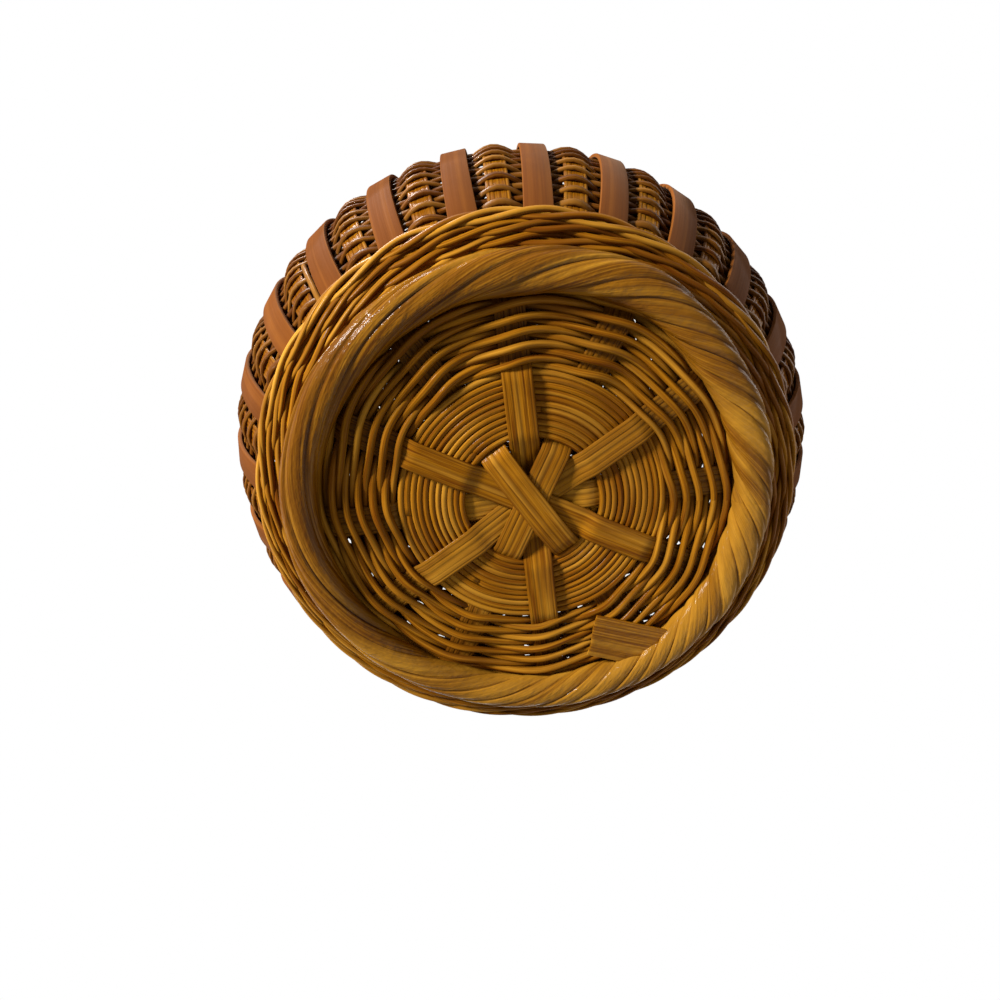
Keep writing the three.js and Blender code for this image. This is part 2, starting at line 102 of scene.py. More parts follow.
class Sketch:
    """A small hand for laying out one material's nodes."""

    def __init__(self, name: str) -> None:
        """Makes an empty material with a Principled shader.

        Args:
            name: The material's name.
        """
        self.material = bpy.data.materials.new(name)
        self.material.use_nodes = True
        self.tree = self.material.node_tree
        self.shader = self.tree.nodes["Principled BSDF"]

    def node(self, kind: str, **settings: object) -> bpy.types.Node:
        """Adds a node and sets its properties.

        Args:
            kind: The node's type name.
            **settings: Properties of the node.

        Returns:
            The new node.
        """
        node = self.tree.nodes.new(kind)
        for key, value in settings.items():
            setattr(node, key, value)
        return node

    def feed(self, socket: Socket, value: object) -> None:
        """Links a socket to an output, or sets its number or colour.

        Args:
            socket: A node's input.
            value: An output, a number or a colour.
        """
        if isinstance(value, Socket):
            self.tree.links.new(value, socket)
        else:
            socket.default_value = value

    def fill(self, node: bpy.types.Node, values: dict[str, object]) -> None:
        """Feeds a node's inputs by their names."""
        for name, value in values.items():
            self.feed(node.inputs[name], value)

    def math(self, operation: str, *values: object) -> Socket:
        """Adds a Math node.

        Args:
            operation: The Math node's operation.
            *values: Numbers or outputs for its inputs.

        Returns:
            The result's socket.
        """
        node = self.node("ShaderNodeMath", operation=operation)
        for socket, value in zip(node.inputs, values):
            self.feed(socket, value)
        return node.outputs[0]

    def mix(self, factor: object, first: object, second: object) -> Socket:
        """Mixes two colours.

        Args:
            factor: 0 for the first colour, 1 for the second.
            first: The first colour.
            second: The second colour.

        Returns:
            The mixed colour's socket.
        """
        node = self.node("ShaderNodeMix", data_type="RGBA")
        self.fill(node, {"Factor": factor, "A": first, "B": second})
        return node.outputs["Result"]

    def noise(self, vector: object, scale: float, detail: float = 3.0,
              roughness: float = 0.55) -> Socket:
        """Adds a noise texture.

        Args:
            vector: Where the noise is read.
            scale: Spots to one unit of the vector.
            detail: How many finer layers it has.
            roughness: How strong they are.

        Returns:
            The noise's socket, from 0 to 1.
        """
        node = self.node("ShaderNodeTexNoise")
        self.fill(node, {"Vector": vector, "Scale": scale, "Detail": detail,
                         "Roughness": roughness})
        return node.outputs[0]

    def spread(self, value: object, low: float, high: float, to_low: float = 0.0,
               to_high: float = 1.0) -> Socket:
        """Maps a value from one range to another, smoothly and clamped.

        Args:
            value: What is mapped.
            low: The value that gives to_low.
            high: The value that gives to_high.
            to_low: Result at low.
            to_high: Result at high.

        Returns:
            The result's socket.
        """
        node = self.node("ShaderNodeMapRange", interpolation_type="SMOOTHSTEP")
        self.fill(node, {"Value": value, "From Min": low, "From Max": high,
                         "To Min": to_low, "To Max": to_high})
        return node.outputs[0]

    def attribute(self, name: str) -> Socket:
        """Reads a number that the mesh stores."""
        return self.node("ShaderNodeAttribute", attribute_name=name).outputs["Fac"]

    def place(self) -> Socket:
        """Reads the place on the piece, in metres."""
        return self.node("ShaderNodeTexCoord").outputs["Object"]

    def bump(self, height: object, depth: float, strength: float = 1.0,
             under: Socket | None = None) -> Socket:
        """Adds a bump of a real depth.

        Args:
            height: The relief, from 0 to 1.
            depth: Millimetres from 0 to 1.
            strength: How much of it shows.
            under: The bump that it lies on.

        Returns:
            The normal's socket.
        """
        node = self.node("ShaderNodeBump")
        self.fill(node, {"Height": height, "Distance": depth * MM, "Strength": strength})
        if under is not None:
            self.feed(node.inputs["Normal"], under)
        return node.outputs[0]


@dataclass(frozen=True)
class CaneFinish:
    """Split cane or peel under a thin varnish, with long fibres and a tone for each strand."""

    slot: Slot
    dark: Colour                    # between the fibres and in old, tanned strands
    usual: Colour
    light: Colour                   # raised fibres and pale strands
    # The crevice colour is painted shade, laid where the number "crevice" says a point lies in a
    # gap.
    crevice: Colour = (0.044, 0.009, 0.001)
    fibre_width: float = 1.0        # mm across one bundle of fibres
    fibre_length: float = 34.0      # mm along it
    fibre_depth: float = 0.07       # mm of relief
    hair_width: float = 0.42        # mm across one fine fibre
    hair_length: float = 22.0
    hair_depth: float = 0.03
    grain: float = 1.0              # how dark the lines between the fibres are
    blotch: float = 0.35            # how much the varnish's colour wanders
    blotches: float = 55.0          # spots of it to the metre
    crinkle: float = 0.0            # mm of small folds in a peel
    fold_width: float = 1.5
    fold_length: float = 3.2
    pale_edge: float = 0.0          # mm of pale, worn edge at each side of a flat strip
    half_width: float = 4.0         # mm from the strip's middle to its edge
    roughness: tuple[float, float] = (0.34, 0.52)   # on the fibres and between them
    dull: float = 0.90              # roughness in a crevice, and where a strand is seen edge on
    specular: float = 0.08
    sheen: Colour = (1.0, 0.64, 0.14)
    varnish: float = 0.07
    varnish_roughness: float = 0.15
    varnish_index: float = 1.35
    bloom: float = 0.0              # strength of the pale film seen at a glancing angle
    bloom_tint: Colour = (1.0, 0.78, 0.58)
    bloom_roughness: float = 0.55

    def material(self) -> bpy.types.Material:
        """Lays out the finish's nodes.

        Returns:
            The material, which reads the map "strand" and the numbers "tone" and "crevice".
        """
        s = CaneSketch(self)
        relief = s.relief()
        s.fill(s.shader, {
            "Base Color": s.colour(),
            "Roughness": s.roughness(),
            "Normal": relief,
            "Specular IOR Level": self.specular,
            "Specular Tint": rgba(self.sheen),
            "Coat Weight": self.varnish,
            "Coat Roughness": self.varnish_roughness,
            "Coat IOR": self.varnish_index,
            "Coat Normal": relief,
            "Sheen Weight": self.bloom,
            "Sheen Roughness": self.bloom_roughness,
            "Sheen Tint": rgba(self.bloom_tint),
        })
        return s.material


class CaneSketch(Sketch):
    """The sketch of a cane finish, with the noises that its colour, shine and relief share."""

    def __init__(self, finish: CaneFinish) -> None:
        """Starts the material and lays out the shared noises.

        Args:
            finish: The finish that is sketched.
        """
        super().__init__(finish.slot.value)
        self.finish = finish
        strand = self.node("ShaderNodeSeparateXYZ")
        self.feed(strand.inputs[0], self.node("ShaderNodeUVMap", uv_map="strand").outputs[0])
        self.along, self.across, _ = strand.outputs
        self.crevice = self.attribute("crevice")
        self.fibres = self.drawn_out(finish.fibre_length, finish.fibre_width, 0.0, 4.0, 0.6)
        self.hairs = self.drawn_out(finish.hair_length, finish.hair_width, 9.0)

    def drawn_out(self, length: float, width: float, layer: float, detail: float = 2.0,
                  roughness: float = 0.55) -> Socket:
        """Adds a noise whose spots lie along the strand.

        Args:
            length: Millimetres along the strand for one spot.
            width: Millimetres across it.
            layer: Where the noise is cut, so that no two noises of a finish are alike.
            detail: How many finer layers it has.
            roughness: How strong they are.

        Returns:
            The noise's socket, from 0 to 1.
        """
        spot = self.node("ShaderNodeCombineXYZ")
        self.fill(spot, {"X": self.math("MULTIPLY", self.along, 1 / (length * MM)),
                         "Y": self.math("MULTIPLY", self.across, 1 / (width * MM)), "Z": layer})
        return self.noise(spot.outputs[0], 1.0, detail, roughness)

    def colour(self) -> Socket:
        """Lays the colours over each other, from the fibres to the painted shade in the gaps
        between strands.

        Returns:
            The colour's socket.
        """
        look = self.finish
        streaks = self.drawn_out(look.fibre_length / 0.35, look.fibre_width / 0.22, 5.0)
        blotch = self.noise(self.place(), look.blotches)
        tone = self.attribute("tone")
        colour = self.mix(self.spread(self.fibres, 0.30, 0.56, 1 - look.grain), rgba(look.dark),
                          rgba(look.usual))
        layers = [
            (self.spread(self.hairs, 0.46, 0.62, 0.0, 0.55 * look.grain), look.dark),
            (self.spread(self.hairs, 0.46, 0.32, 0.0, 0.30 * look.grain), look.light),
            (self.spread(streaks, 0.48, 0.74, 0.0, 0.70), look.light),
            (self.spread(tone, 0.55, 1.0, 0.0, 0.55), look.light),
            (self.spread(tone, 0.45, 0.0, 0.0, 0.60), look.dark),
            (self.spread(blotch, 0.42, 0.70, 0.0, look.blotch), look.dark),
        ]
        if look.pale_edge:
            layers.append((self.worn_edge(), look.light))
        # Last comes the painted shade of the crevices.
        layers.append((self.crevice, look.crevice))
        for amount, layer in layers:
            colour = self.mix(amount, colour, rgba(layer))
        return colour

    def worn_edge(self) -> Socket:
        """Gives how far a flat strip is worn pale, raggedly, at its edges.

        Returns:
            The share's socket.
        """
        ragged = self.math("MULTIPLY", self.math("SUBTRACT", self.hairs, 0.5), 0.6 * MM)
        side = self.math("ADD", self.math("ABSOLUTE", self.across), ragged)
        inset = (self.finish.half_width - self.finish.pale_edge) * MM
        return self.spread(side, inset, inset + 0.4 * MM, 0.0, 0.8)

    def roughness(self) -> Socket:
        """Gives the roughness: low on raised fibres, high in crevices and at grazing angles.

        Returns:
            The roughness's socket.
        """
        raised, between = self.finish.roughness
        dull = self.finish.dull
        deep = self.spread(self.crevice, 0.0, 0.20, 0.0, dull)
        facing = self.node("ShaderNodeLayerWeight").outputs["Facing"]
        shineless = self.math("MAXIMUM", deep, self.spread(facing, 0.60, 0.85, 0.0, dull))
        return self.math("MAXIMUM", self.spread(self.fibres, 0.35, 0.68, between, raised),
                         shineless)

    def relief(self) -> Socket:
        """Lays the relief of fibres, fine fibres and folds over each other.

        Returns:
            The normal's socket.
        """
        look = self.finish
        relief = self.bump(self.fibres, look.fibre_depth)
        relief = self.bump(self.hairs, look.hair_depth, 0.7, relief)
        if look.crinkle:
            folds = self.drawn_out(look.fold_length, look.fold_width, 2.0)
            relief = self.bump(folds, look.crinkle, 1.0, relief)
        return relief


@dataclass(frozen=True)
class WoodFinish:
    """Turned or carved hardwood, stained dark and polished."""

    slot: Slot
    usual: Colour
    light: Colour
    roughness: tuple[float, float]  # where it is rubbed most and least
    grain: float = 0.35             # mm between two lines of grain
    long_grain: float = 0.15        # how little the grain changes along the wood
    relief: float = 0.003           # mm of relief
    rubbed: float = 160.0           # worn spots to the metre
    specular: float = 0.18
    polish: float = 0.12
    polish_roughness: float = 0.08

    def material(self) -> bpy.types.Material:
        """Lays out the finish's nodes.

        Returns:
            The material, which reads places on the piece.
        """
        s = Sketch(self.slot.value)
        stretch = s.node("ShaderNodeMapping")
        s.fill(stretch, {"Vector": s.place(), "Scale": (1.0, 1.0, self.long_grain)})
        grain = s.noise(stretch.outputs[0], 0.5 / (self.grain * MM), 4.0, 0.65)
        rubbed = s.noise(s.place(), self.rubbed, 2.0)
        s.fill(s.shader, {
            "Base Color": s.mix(s.spread(grain, 0.38, 0.68), rgba(self.usual), rgba(self.light)),
            "Roughness": s.spread(rubbed, 0.35, 0.65, *self.roughness),
            "Normal": s.bump(grain, self.relief),
            "Specular IOR Level": self.specular,
            "Coat Weight": self.polish,
            "Coat Roughness": self.polish_roughness,
        })
        return s.material


FINISHES = {finish.slot: finish for finish in (
    CaneFinish(Slot.GOLDEN_CANE, dark=(0.130, 0.030, 0.001), usual=(0.395, 0.150, 0.005),
               light=(0.64, 0.300, 0.030)),
    CaneFinish(Slot.ROPE_PEEL, dark=(0.110, 0.030, 0.001), usual=(0.305, 0.116, 0.004),
               light=(0.64, 0.305, 0.028), fibre_width=0.9, fibre_length=46.0, fibre_depth=0.14,
               roughness=(0.30, 0.45), specular=0.03, sheen=(1.0, 0.74, 0.32), varnish=0.24,
               varnish_roughness=0.13, crinkle=0.32),
    CaneFinish(Slot.DARK_WEAVE, dark=(0.045, 0.009, 0.001), usual=(0.170, 0.052, 0.003),
               light=(0.42, 0.18, 0.024), specular=0.05, varnish=0.03, blotch=0.4),
    CaneFinish(Slot.BROWN_RIB, dark=(0.090, 0.023, 0.002), usual=(0.155, 0.041, 0.004),
               light=(0.230, 0.070, 0.008), fibre_width=0.6, fibre_length=70.0,
               fibre_depth=0.020, grain=0.3, roughness=(0.60, 0.70), specular=0.010,
               sheen=(1.0, 0.60, 0.30), varnish=0.0, bloom=0.075, blotch=0.25, pale_edge=0.30,
               half_width=3.7),
    CaneFinish(Slot.HEAD_WEAVE, dark=(0.090, 0.024, 0.001), usual=(0.330, 0.122, 0.004),
               light=(0.54, 0.27, 0.030), blotch=0.4),
    WoodFinish(Slot.DARK_BEAD, usual=(0.010, 0.005, 0.003), light=(0.034, 0.015, 0.008),
               roughness=(0.10, 0.16)),
    WoodFinish(Slot.BEAK_WOOD, usual=(0.040, 0.015, 0.006), light=(0.095, 0.040, 0.016),
               roughness=(0.16, 0.24)),
)}


@cache
def material_of(slot: Slot) -> bpy.types.Material:
    """Makes a slot's material, once."""
    return FINISHES[slot].material()


def dress(piece: bpy.types.Object, slot: Slot, body: Body, *nodes: str) -> None:
    """Gives a finished piece its material, its body and the nodes that it stands for.

    Args:
        piece: The finished mesh object.
        slot: The record's slot.
        body: The body that it rides on.
        *nodes: Names of the CAD nodes that it replaces.
    """
    piece.data.materials.clear()
    piece.data.materials.append(material_of(slot))
    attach(piece, body.value)
    if nodes:
        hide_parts(*nodes)
    LOG.info("%s: %d faces on %s", piece.name, len(piece.data.polygons), body.value)


# Swept strands


def unit(vectors: np.ndarray) -> np.ndarray:
    """Scales vectors to a length of one."""
    return vectors / np.linalg.norm(vectors, axis=-1, keepdims=True)


def full_turn(count: int) -> np.ndarray:
    """Gives so many even angles once round, in radians."""
    return np.arange(count) * TAU / count


def run_length(points: np.ndarray) -> np.ndarray:
    """Gives how far a closed line has run at each point and back at its start."""
    steps = np.linalg.norm(np.roll(points, -1, 0) - points, axis=-1)
    return np.concatenate([[0.0], np.cumsum(steps)])


def oval(width: float, thickness: float, sides: int = 8, square: float = 2.3) -> np.ndarray:
    """Gives a section's points, counter-clockwise.

    Args:
        width: Size across the strand.
        thickness: Size from its back to its face.
        sides: Number of points.
        square: 2 for an ellipse, more for a flatter section with rounded edges.

    Returns:
        An array of (across, out) points.
    """
    turn = (np.arange(sides) + 0.5) * TAU / sides
    c, s = np.cos(turn), np.sin(turn)
    power = 2 / square
    return np.stack([width / 2 * np.sign(c) * np.abs(c) ** power,
                     thickness / 2 * np.sign(s) * np.abs(s) ** power], axis=-1)


def grooved(width: float, thickness: float, flutes: int, depth: float,
            shade: float = 0.4) -> tuple[np.ndarray, np.ndarray]:
    """Gives the section of a flat cane with flutes along both faces, counter-clockwise.

    Args:
        width: Size across the strip.
        thickness: Size from its back to its face.
        flutes: Number of grooves on each face.
        depth: Depth of a groove.
        shade: How much painted shade a groove gets, from 0 to 1.

    Returns:
        An array of (across, out) points, and the painted shade that each gets for lying in a flute.
    """
    points_to_a_flute = 8
    across = np.linspace(1, -1, flutes * points_to_a_flute + 1)
    rounded = np.sqrt(np.clip(1 - np.abs(across) ** 10, 0, 1))
    # The flutes are neither quite even in their places nor all as deep.
    at = (across + 1) / 2
    at = at + 0.05 * np.sin(TAU * at) + 0.018 * np.sin(3 * TAU * at)
    uneven = 0.75 + 0.25 * np.sin(11 * at + 0.6)
    flute = (0.5 + 0.5 * np.cos(at * TAU * flutes)) ** 5 * uneven
    flute[0] = flute[-1] = 0.0
    face = (thickness / 2 - depth * flute) * np.clip(rounded, 0.35, 1)
    front = np.stack([across * width / 2, face], axis=-1)
    back = np.stack([-across * width / 2, -face], axis=-1)
    # The flutes' numbers become painted shade in the grooves.
    return np.concatenate([front, back]), np.concatenate([flute, flute]) * shade


class Bundle:
    """Gathers swept strands into one mesh, each with its own map, tone and painted shade in its
    crevices.
    """

    def __init__(self, name: str) -> None:
        """Starts an empty bundle.

        Args:
            name: The piece's name.
        """
        self.name = name
        self.points: list[np.ndarray] = []
        self.quads: list[np.ndarray] = []
        self.maps: list[np.ndarray] = []
        self.caps: list[list[int]] = []
        self.tones: list[np.ndarray] = []
        self.crevices: list[np.ndarray] = []
        self.count = 0

    def add(self, path: np.ndarray, facing: np.ndarray, section: np.ndarray,
            tone: Numbers = 0.5, closed: bool = False, crevice: Numbers = 0.0) -> None:
        """Sweeps a section along a path.

        Args:
            path: Points along the strand's middle, in millimetres.
            facing: The way the strand's face looks at each point.
            section: Points across the strand, one set or one for each point of the path.
            tone: The strand's own shade, from 0, tanned, to 1, pale, or one for each point.
            closed: Whether the last point joins the first.
            crevice: How much painted shade each section point gets for lying in a gap, from 0 to 1.
        """
        stations = len(path)
        shape = np.broadcast_to(section, (stations, *section.shape[-2:]))
        sides = shape.shape[1]
        ahead = np.roll(path, -1, 0) - np.roll(path, 1, 0) if closed else np.gradient(path, axis=0)
        tangent = unit(ahead)
        across = unit(np.cross(np.broadcast_to(facing, (stations, 3)), tangent))
        out = np.cross(tangent, across)
        points = path[:, None] + shape[..., :1] * across[:, None] + shape[..., 1:] * out[:, None]
        self.points.append(points.reshape(-1, 3))
        self.join(stations, sides, closed, run_length(path), run_length(shape[0]))
        # Painted shade on a strand's sides, where it lies against the next one.
        if section.ndim == 2:
            reach = np.abs(section[:, 0])
            beside = PAINTED_SIDE_SHADE * (reach / reach.max()) ** 8
            crevice = 1 - (1 - np.asarray(crevice)) * (1 - beside)
        tone = np.asarray(tone, dtype=float)
        tone = tone[:, None] if tone.ndim == 1 else tone
        self.tones.append(np.clip(np.broadcast_to(tone, (stations, sides)), 0, 1).ravel())
        self.crevices.append(np.broadcast_to(crevice, (stations, sides)).ravel())
        self.count += stations * sides

    def join(self, stations: int, sides: int, closed: bool, along: np.ndarray,
             around_it: np.ndarray) -> None:
        """Makes one strand's faces and its map.

        Args:
            stations: Number of sections.
            sides: Number of points of a section.
            closed: Whether the last section joins the first.
            along: How far the path has run at each section.
            around_it: How far the section's outline has run at each point.
        """
        spans = np.arange(stations if closed else stations - 1)
        i, j = (index.ravel() for index in np.meshgrid(spans, np.arange(sides), indexing="ij"))
        next_i, next_j = (i + 1) % stations, (j + 1) % sides
        quads = np.stack([i * sides + j, i * sides + next_j, next_i * sides + next_j,
                          next_i * sides + j], axis=-1)
        self.quads.append(quads + self.count)
        u = along + STRAND_SHIFT * len(self.maps)
        v = around_it
        uv = np.stack([np.stack([u[i], u[i], u[i + 1], u[i + 1]], -1),
                       np.stack([v[j], v[j + 1], v[j + 1], v[j]], -1)], -1)
        self.maps.append(uv * MM)
        if not closed:
            last = self.count + (stations - 1) * sides
            self.caps.append([self.count + side for side in reversed(range(sides))])
            self.caps.append([last + side for side in range(sides)])

    def build(self) -> bpy.types.Object:
        """Makes the mesh object.

        Returns:
            The new piece, in metres, smooth shaded.
        """
        points = np.concatenate(self.points) * MM
        quads = np.concatenate(self.quads)
        mesh = bpy.data.meshes.new(self.name)
        mesh.from_pydata(points.tolist(), [], quads.tolist() + self.caps)
        layer = mesh.uv_layers.new(name="strand")
        uv = np.concatenate(self.maps).reshape(-1, 2)
        ends = np.zeros((sum(len(cap) for cap in self.caps), 2))
        layer.data.foreach_set("uv", np.concatenate([uv, ends]).ravel())
        for name, values in (("tone", self.tones), ("crevice", self.crevices)):
            store = mesh.attributes.new(name, "FLOAT", "POINT")
            store.data.foreach_set("value", np.concatenate(values).astype(np.float32))
        mesh.polygons.foreach_set("use_smooth", [True] * len(mesh.polygons))
        mesh.update()
        piece = bpy.data.objects.new(self.name, mesh)
        bpy.context.scene.collection.objects.link(piece)
        return piece


def wander(rng: np.random.Generator, turn: np.ndarray, size: float,
           waves: Sequence[float] = (2, 3, 5, 8)) -> np.ndarray:
    """Gives a small smooth wander round a ring.

    Args:
        rng: The piece's own random numbers.
        turn: Angles round the ring, in radians.
        size: Size of the wander.
        waves: How many waves each part has.

    Returns:
        One number for each angle.
    """
    total = np.zeros_like(turn)
    for wave in waves:
        total += np.cos(wave * turn + rng.uniform(0, TAU)) * rng.uniform(0.4, 1.0)
    return size * total / math.sqrt(len(waves))


def around(turn: np.ndarray, radius: Numbers, height: Numbers) -> np.ndarray:
    """Gives points on rings about the basket's axis.

    Args:
        turn: Angles in radians.
        radius: Distance from the axis, one or one for each angle.
        height: Height over the ground, one or one for each angle.

    Returns:
        One point for each angle.
    """
    radius = np.broadcast_to(radius, turn.shape)
    height = np.broadcast_to(height, turn.shape)
    return np.stack([radius * np.cos(turn), radius * np.sin(turn), height], axis=-1)


@dataclass(frozen=True)
class Dome:
    """A round surface about the basket's axis: the ball of the wall or the dome of the head."""

    radius: float
    height: float
    centre: float
    below: bool                     # whether angles start straight down, as on the ball

    def point(self, angle: Numbers, growth: Numbers = 0.0) -> tuple:
        """Gives a radius and a height from the axis and the ground.

        Args:
            angle: Degrees up from straight down on the ball, or up from the foot on the dome.
            growth: Distance outwards from the surface.

        Returns:
            The radius, the height, and the outward direction's two parts.
        """
        turn = np.radians(np.asarray(angle, dtype=float))
        if self.below:
            turn = turn - math.pi / 2
        r, z = self.radius * np.cos(turn), self.height * np.sin(turn)
        nr, nz = np.cos(turn) / self.radius, np.sin(turn) / self.height
        size = np.hypot(nr, nz)
        nr, nz = nr / size, nz / size
        return r + nr * growth, self.centre + z + nz * growth, nr, nz

    def line(self, turn: np.ndarray, angle: Numbers,
             growth: Numbers) -> tuple[np.ndarray, np.ndarray]:
        """Gives a path's points and facing at radians round the axis and degrees up the surface."""
        r, z, nr, nz = self.point(angle, growth)
        return around(turn, r, z), around(turn, nr, nz)

    def upright(self, azimuth: float, angles: np.ndarray,
                growth: Numbers) -> tuple[np.ndarray, np.ndarray]:
        """Gives an upright's path and facing, straight up the surface at so many degrees."""
        return self.line(np.full_like(angles, math.radians(azimuth)), angles, growth)


WALL = Dome(90.0, 90.0, 67.52, True)
HEAD = Dome(68.64, 54.0, 143.28, False)


# Tools of the bench


class Bench:
    """Steps done with Blender's own tools, as by hand."""

    @staticmethod
    def clear() -> None:
        """Leaves edit mode and deselects everything."""
        if bpy.context.object and bpy.context.object.mode != "OBJECT":
            bpy.ops.object.mode_set(mode="OBJECT")
        bpy.ops.object.select_all(action="DESELECT")

    @staticmethod
    def hold(piece: bpy.types.Object) -> None:
        """Selects one piece and makes it active.

        Args:
            piece: The piece.
        """
        Bench.clear()
        piece.select_set(True)
        bpy.context.view_layer.objects.active = piece

    @staticmethod
    def start(name: str, primitive: Callable, **sizes: object) -> bpy.types.Object:
        """Adds a primitive, from which a piece is modelled.

        Args:
            name: The piece's name.
            primitive: Blender's operator for the primitive.
            **sizes: The operator's settings.

        Returns:
            The new piece.
        """
        Bench.clear()
        primitive(**sizes)
        piece = bpy.context.object
        piece.name = piece.data.name = name
        return piece

    @staticmethod
    def settle(piece: bpy.types.Object) -> None:
        """Puts the piece's place into its mesh."""
        Bench.hold(piece)
        bpy.ops.object.transform_apply(location=True, rotation=True, scale=True)

    @staticmethod
    @contextmanager
    def editing(piece: bpy.types.Object) -> Iterator[None]:
        """Opens edit mode with the whole piece selected, and leaves it afterwards.

        Args:
            piece: The piece.

        Yields:
            Nothing; the steps in between are done in edit mode.
        """
        Bench.hold(piece)
        bpy.ops.object.mode_set(mode="EDIT")
        bpy.ops.mesh.select_all(action="SELECT")
        yield
        bpy.ops.object.mode_set(mode="OBJECT")

    @staticmethod
    def turn_outwards() -> None:
        """Makes every face of the piece in edit mode look outwards."""
        bpy.ops.mesh.select_all(action="SELECT")
        bpy.ops.mesh.normals_make_consistent(inside=False)

    @staticmethod
    def modifier(piece: bpy.types.Object, kind: str, **settings: object) -> None:
        """Adds a modifier, sets it and applies it.

        Args:
            piece: The piece.
            kind: The modifier's type name.
            **settings: Properties of the modifier.
        """
        Bench.hold(piece)
        made = piece.modifiers.new(kind.title(), kind)
        for key, value in settings.items():
            setattr(made, key, value)
        bpy.ops.object.modifier_apply(modifier=made.name)

    @staticmethod
    def soften(piece: bpy.types.Object, width: float, corner: float = 50.0) -> None:
        """Rounds a piece's sharp edges by millimetres, where they turn by more than a corner."""
        Bench.modifier(piece, "BEVEL", width=width * MM, segments=2, limit_method="ANGLE",
                       angle_limit=math.radians(corner))

    @staticmethod
    def shade(piece: bpy.types.Object, crease: float = 40.0) -> None:
        """Shades a piece smooth, but for edges that turn by more than a crease's degrees."""
        Bench.hold(piece)
        bpy.ops.object.shade_smooth_by_angle(angle=math.radians(crease))

    @staticmethod
    def map_strip(piece: bpy.types.Object, rule: Callable[[Vector], tuple[float, float]],
                  tone: float = 0.5) -> None:
        """Writes the map "strand" and the numbers "tone" and "crevice" by a rule on places.

        Args:
            piece: The mesh object.
            rule: Gives metres along and across for a place.
            tone: The piece's own shade.
        """
        mesh = piece.data
        while mesh.uv_layers:
            mesh.uv_layers.remove(mesh.uv_layers[0])
        layer = mesh.uv_layers.new(name="strand")
        spots = [rule(vertex.co) for vertex in mesh.vertices]
        layer.data.foreach_set("uv", [c for loop in mesh.loops for c in spots[loop.vertex_index]])
        for name, value in (("tone", tone), ("crevice", 0.0)):
            store = mesh.attributes.get(name) or mesh.attributes.new(name, "FLOAT", "POINT")
            store.data.foreach_set("value", [value] * len(mesh.vertices))

    @staticmethod
    def tone(piece: bpy.types.Object, value: float) -> None:
        """Sets one shade for a whole piece and moves its grain along, so that no two are alike.

        Args:
            piece: The mesh object.
            value: The shade, from 0, tanned, to 1, pale.
        """
        store = piece.data.attributes["tone"].data
        store.foreach_set("value", [float(np.clip(value, 0, 1))] * len(store))
        layer = piece.data.uv_layers["strand"].data
        spots = np.empty(len(layer) * 2)
        layer.foreach_get("uv", spots)
        spots[::2] += value * STRAND_SHIFT
        layer.foreach_set("uv", spots)

    @staticmethod
    def copy_turned(piece: bpy.types.Object, name: str, degrees: float) -> bpy.types.Object:
        """Copies a piece with its own mesh, turned about the basket's axis.

        Args:
            piece: The pattern.
            name: The copy's name.
            degrees: How far it is turned.

        Returns:
            The copy.
        """
        mesh = piece.data.copy()
        mesh.name = name
        mesh.transform(Matrix.Rotation(math.radians(degrees), 4, "Z"))
        made = bpy.data.objects.new(name, mesh)
        bpy.context.scene.collection.objects.link(made)
        return made


@dataclass
class BentStrip:
    """A flat strip of cane bent along an arc of a dome, with softened edges."""

    dome: Dome
    start: float                    # degrees up the dome to its ends
    end: float
    inner: float = 0.3              # from the dome to the strip's inner face
    thickness: float = 1.2
    width: float = 7.5
    soft: float = 0.35
    steps: int = 44

    def build(self, name: str) -> bpy.types.Object:
        """Models the strip at +X: a plane, spun about the dome's middle and bevelled.

        Args:
            name: The piece's name.

        Returns:
            The finished strip.
        """
        dome = self.dome
        start = math.radians(self.start - (90 if dome.below else 0))
        middle = (dome.radius + self.inner + self.thickness / 2) * MM
        piece = Bench.start(name, bpy.ops.mesh.primitive_plane_add, size=1.0)
        piece.matrix_world = (
            Matrix.Rotation(-start, 4, "Y")
            @ Matrix.Translation((middle, 0, 0))
            @ Matrix.Diagonal((self.thickness * MM, self.width * MM, 1, 1))
        )
        Bench.settle(piece)
        with Bench.editing(piece):
            bpy.ops.mesh.spin(steps=self.steps, dupli=False, center=(0, 0, 0), axis=(0, 1, 0),
                              angle=math.radians(self.end - self.start))
            Bench.turn_outwards()
        Bench.soften(piece, self.soft)
        Bench.map_strip(piece, lambda p: (math.atan2(p.z, p.x) * middle, p.y))
        squash = (dome.height + self.inner) / (dome.radius + self.inner)
        piece.data.transform(Matrix.Translation((0, 0, dome.centre * MM))
                             @ Matrix.Diagonal((1, 1, squash, 1)))
        Bench.shade(piece)
        return piece


@dataclass
class Ribs:
    """Brown ribs over a dome: one is modelled, and the others are copies turned into place."""

    name: str
    body: Body
    pattern: BentStrip
    azimuths: Sequence[float]       # degrees to each rib
    seed: int

    def build(self) -> None:
        """Builds and dresses the ribs."""
        rng = np.random.default_rng(self.seed)
        pattern = self.pattern.build(f"{self.name}_pattern")
        for number, azimuth in enumerate(self.azimuths, start=1):
            node = f"{self.name}_{number:02d}"
            rib = Bench.copy_turned(pattern, f"{node}_cane", azimuth)
            Bench.tone(rib, 0.5 + rng.normal(0, 0.10))
            dress(rib, Slot.BROWN_RIB, self.body, node)
        bpy.data.objects.remove(pattern)


# The base


class StarStrip(NamedTuple):
    """One strip's place in the star."""

    name: str
    turn: int                       # spokes clockwise from the first, as seen from above
    layer: int                      # at the centre, counted from below
    edge: int                       # its layer at the star's edge
    under: bool                     # whether it lies below the fine band
    tone: float


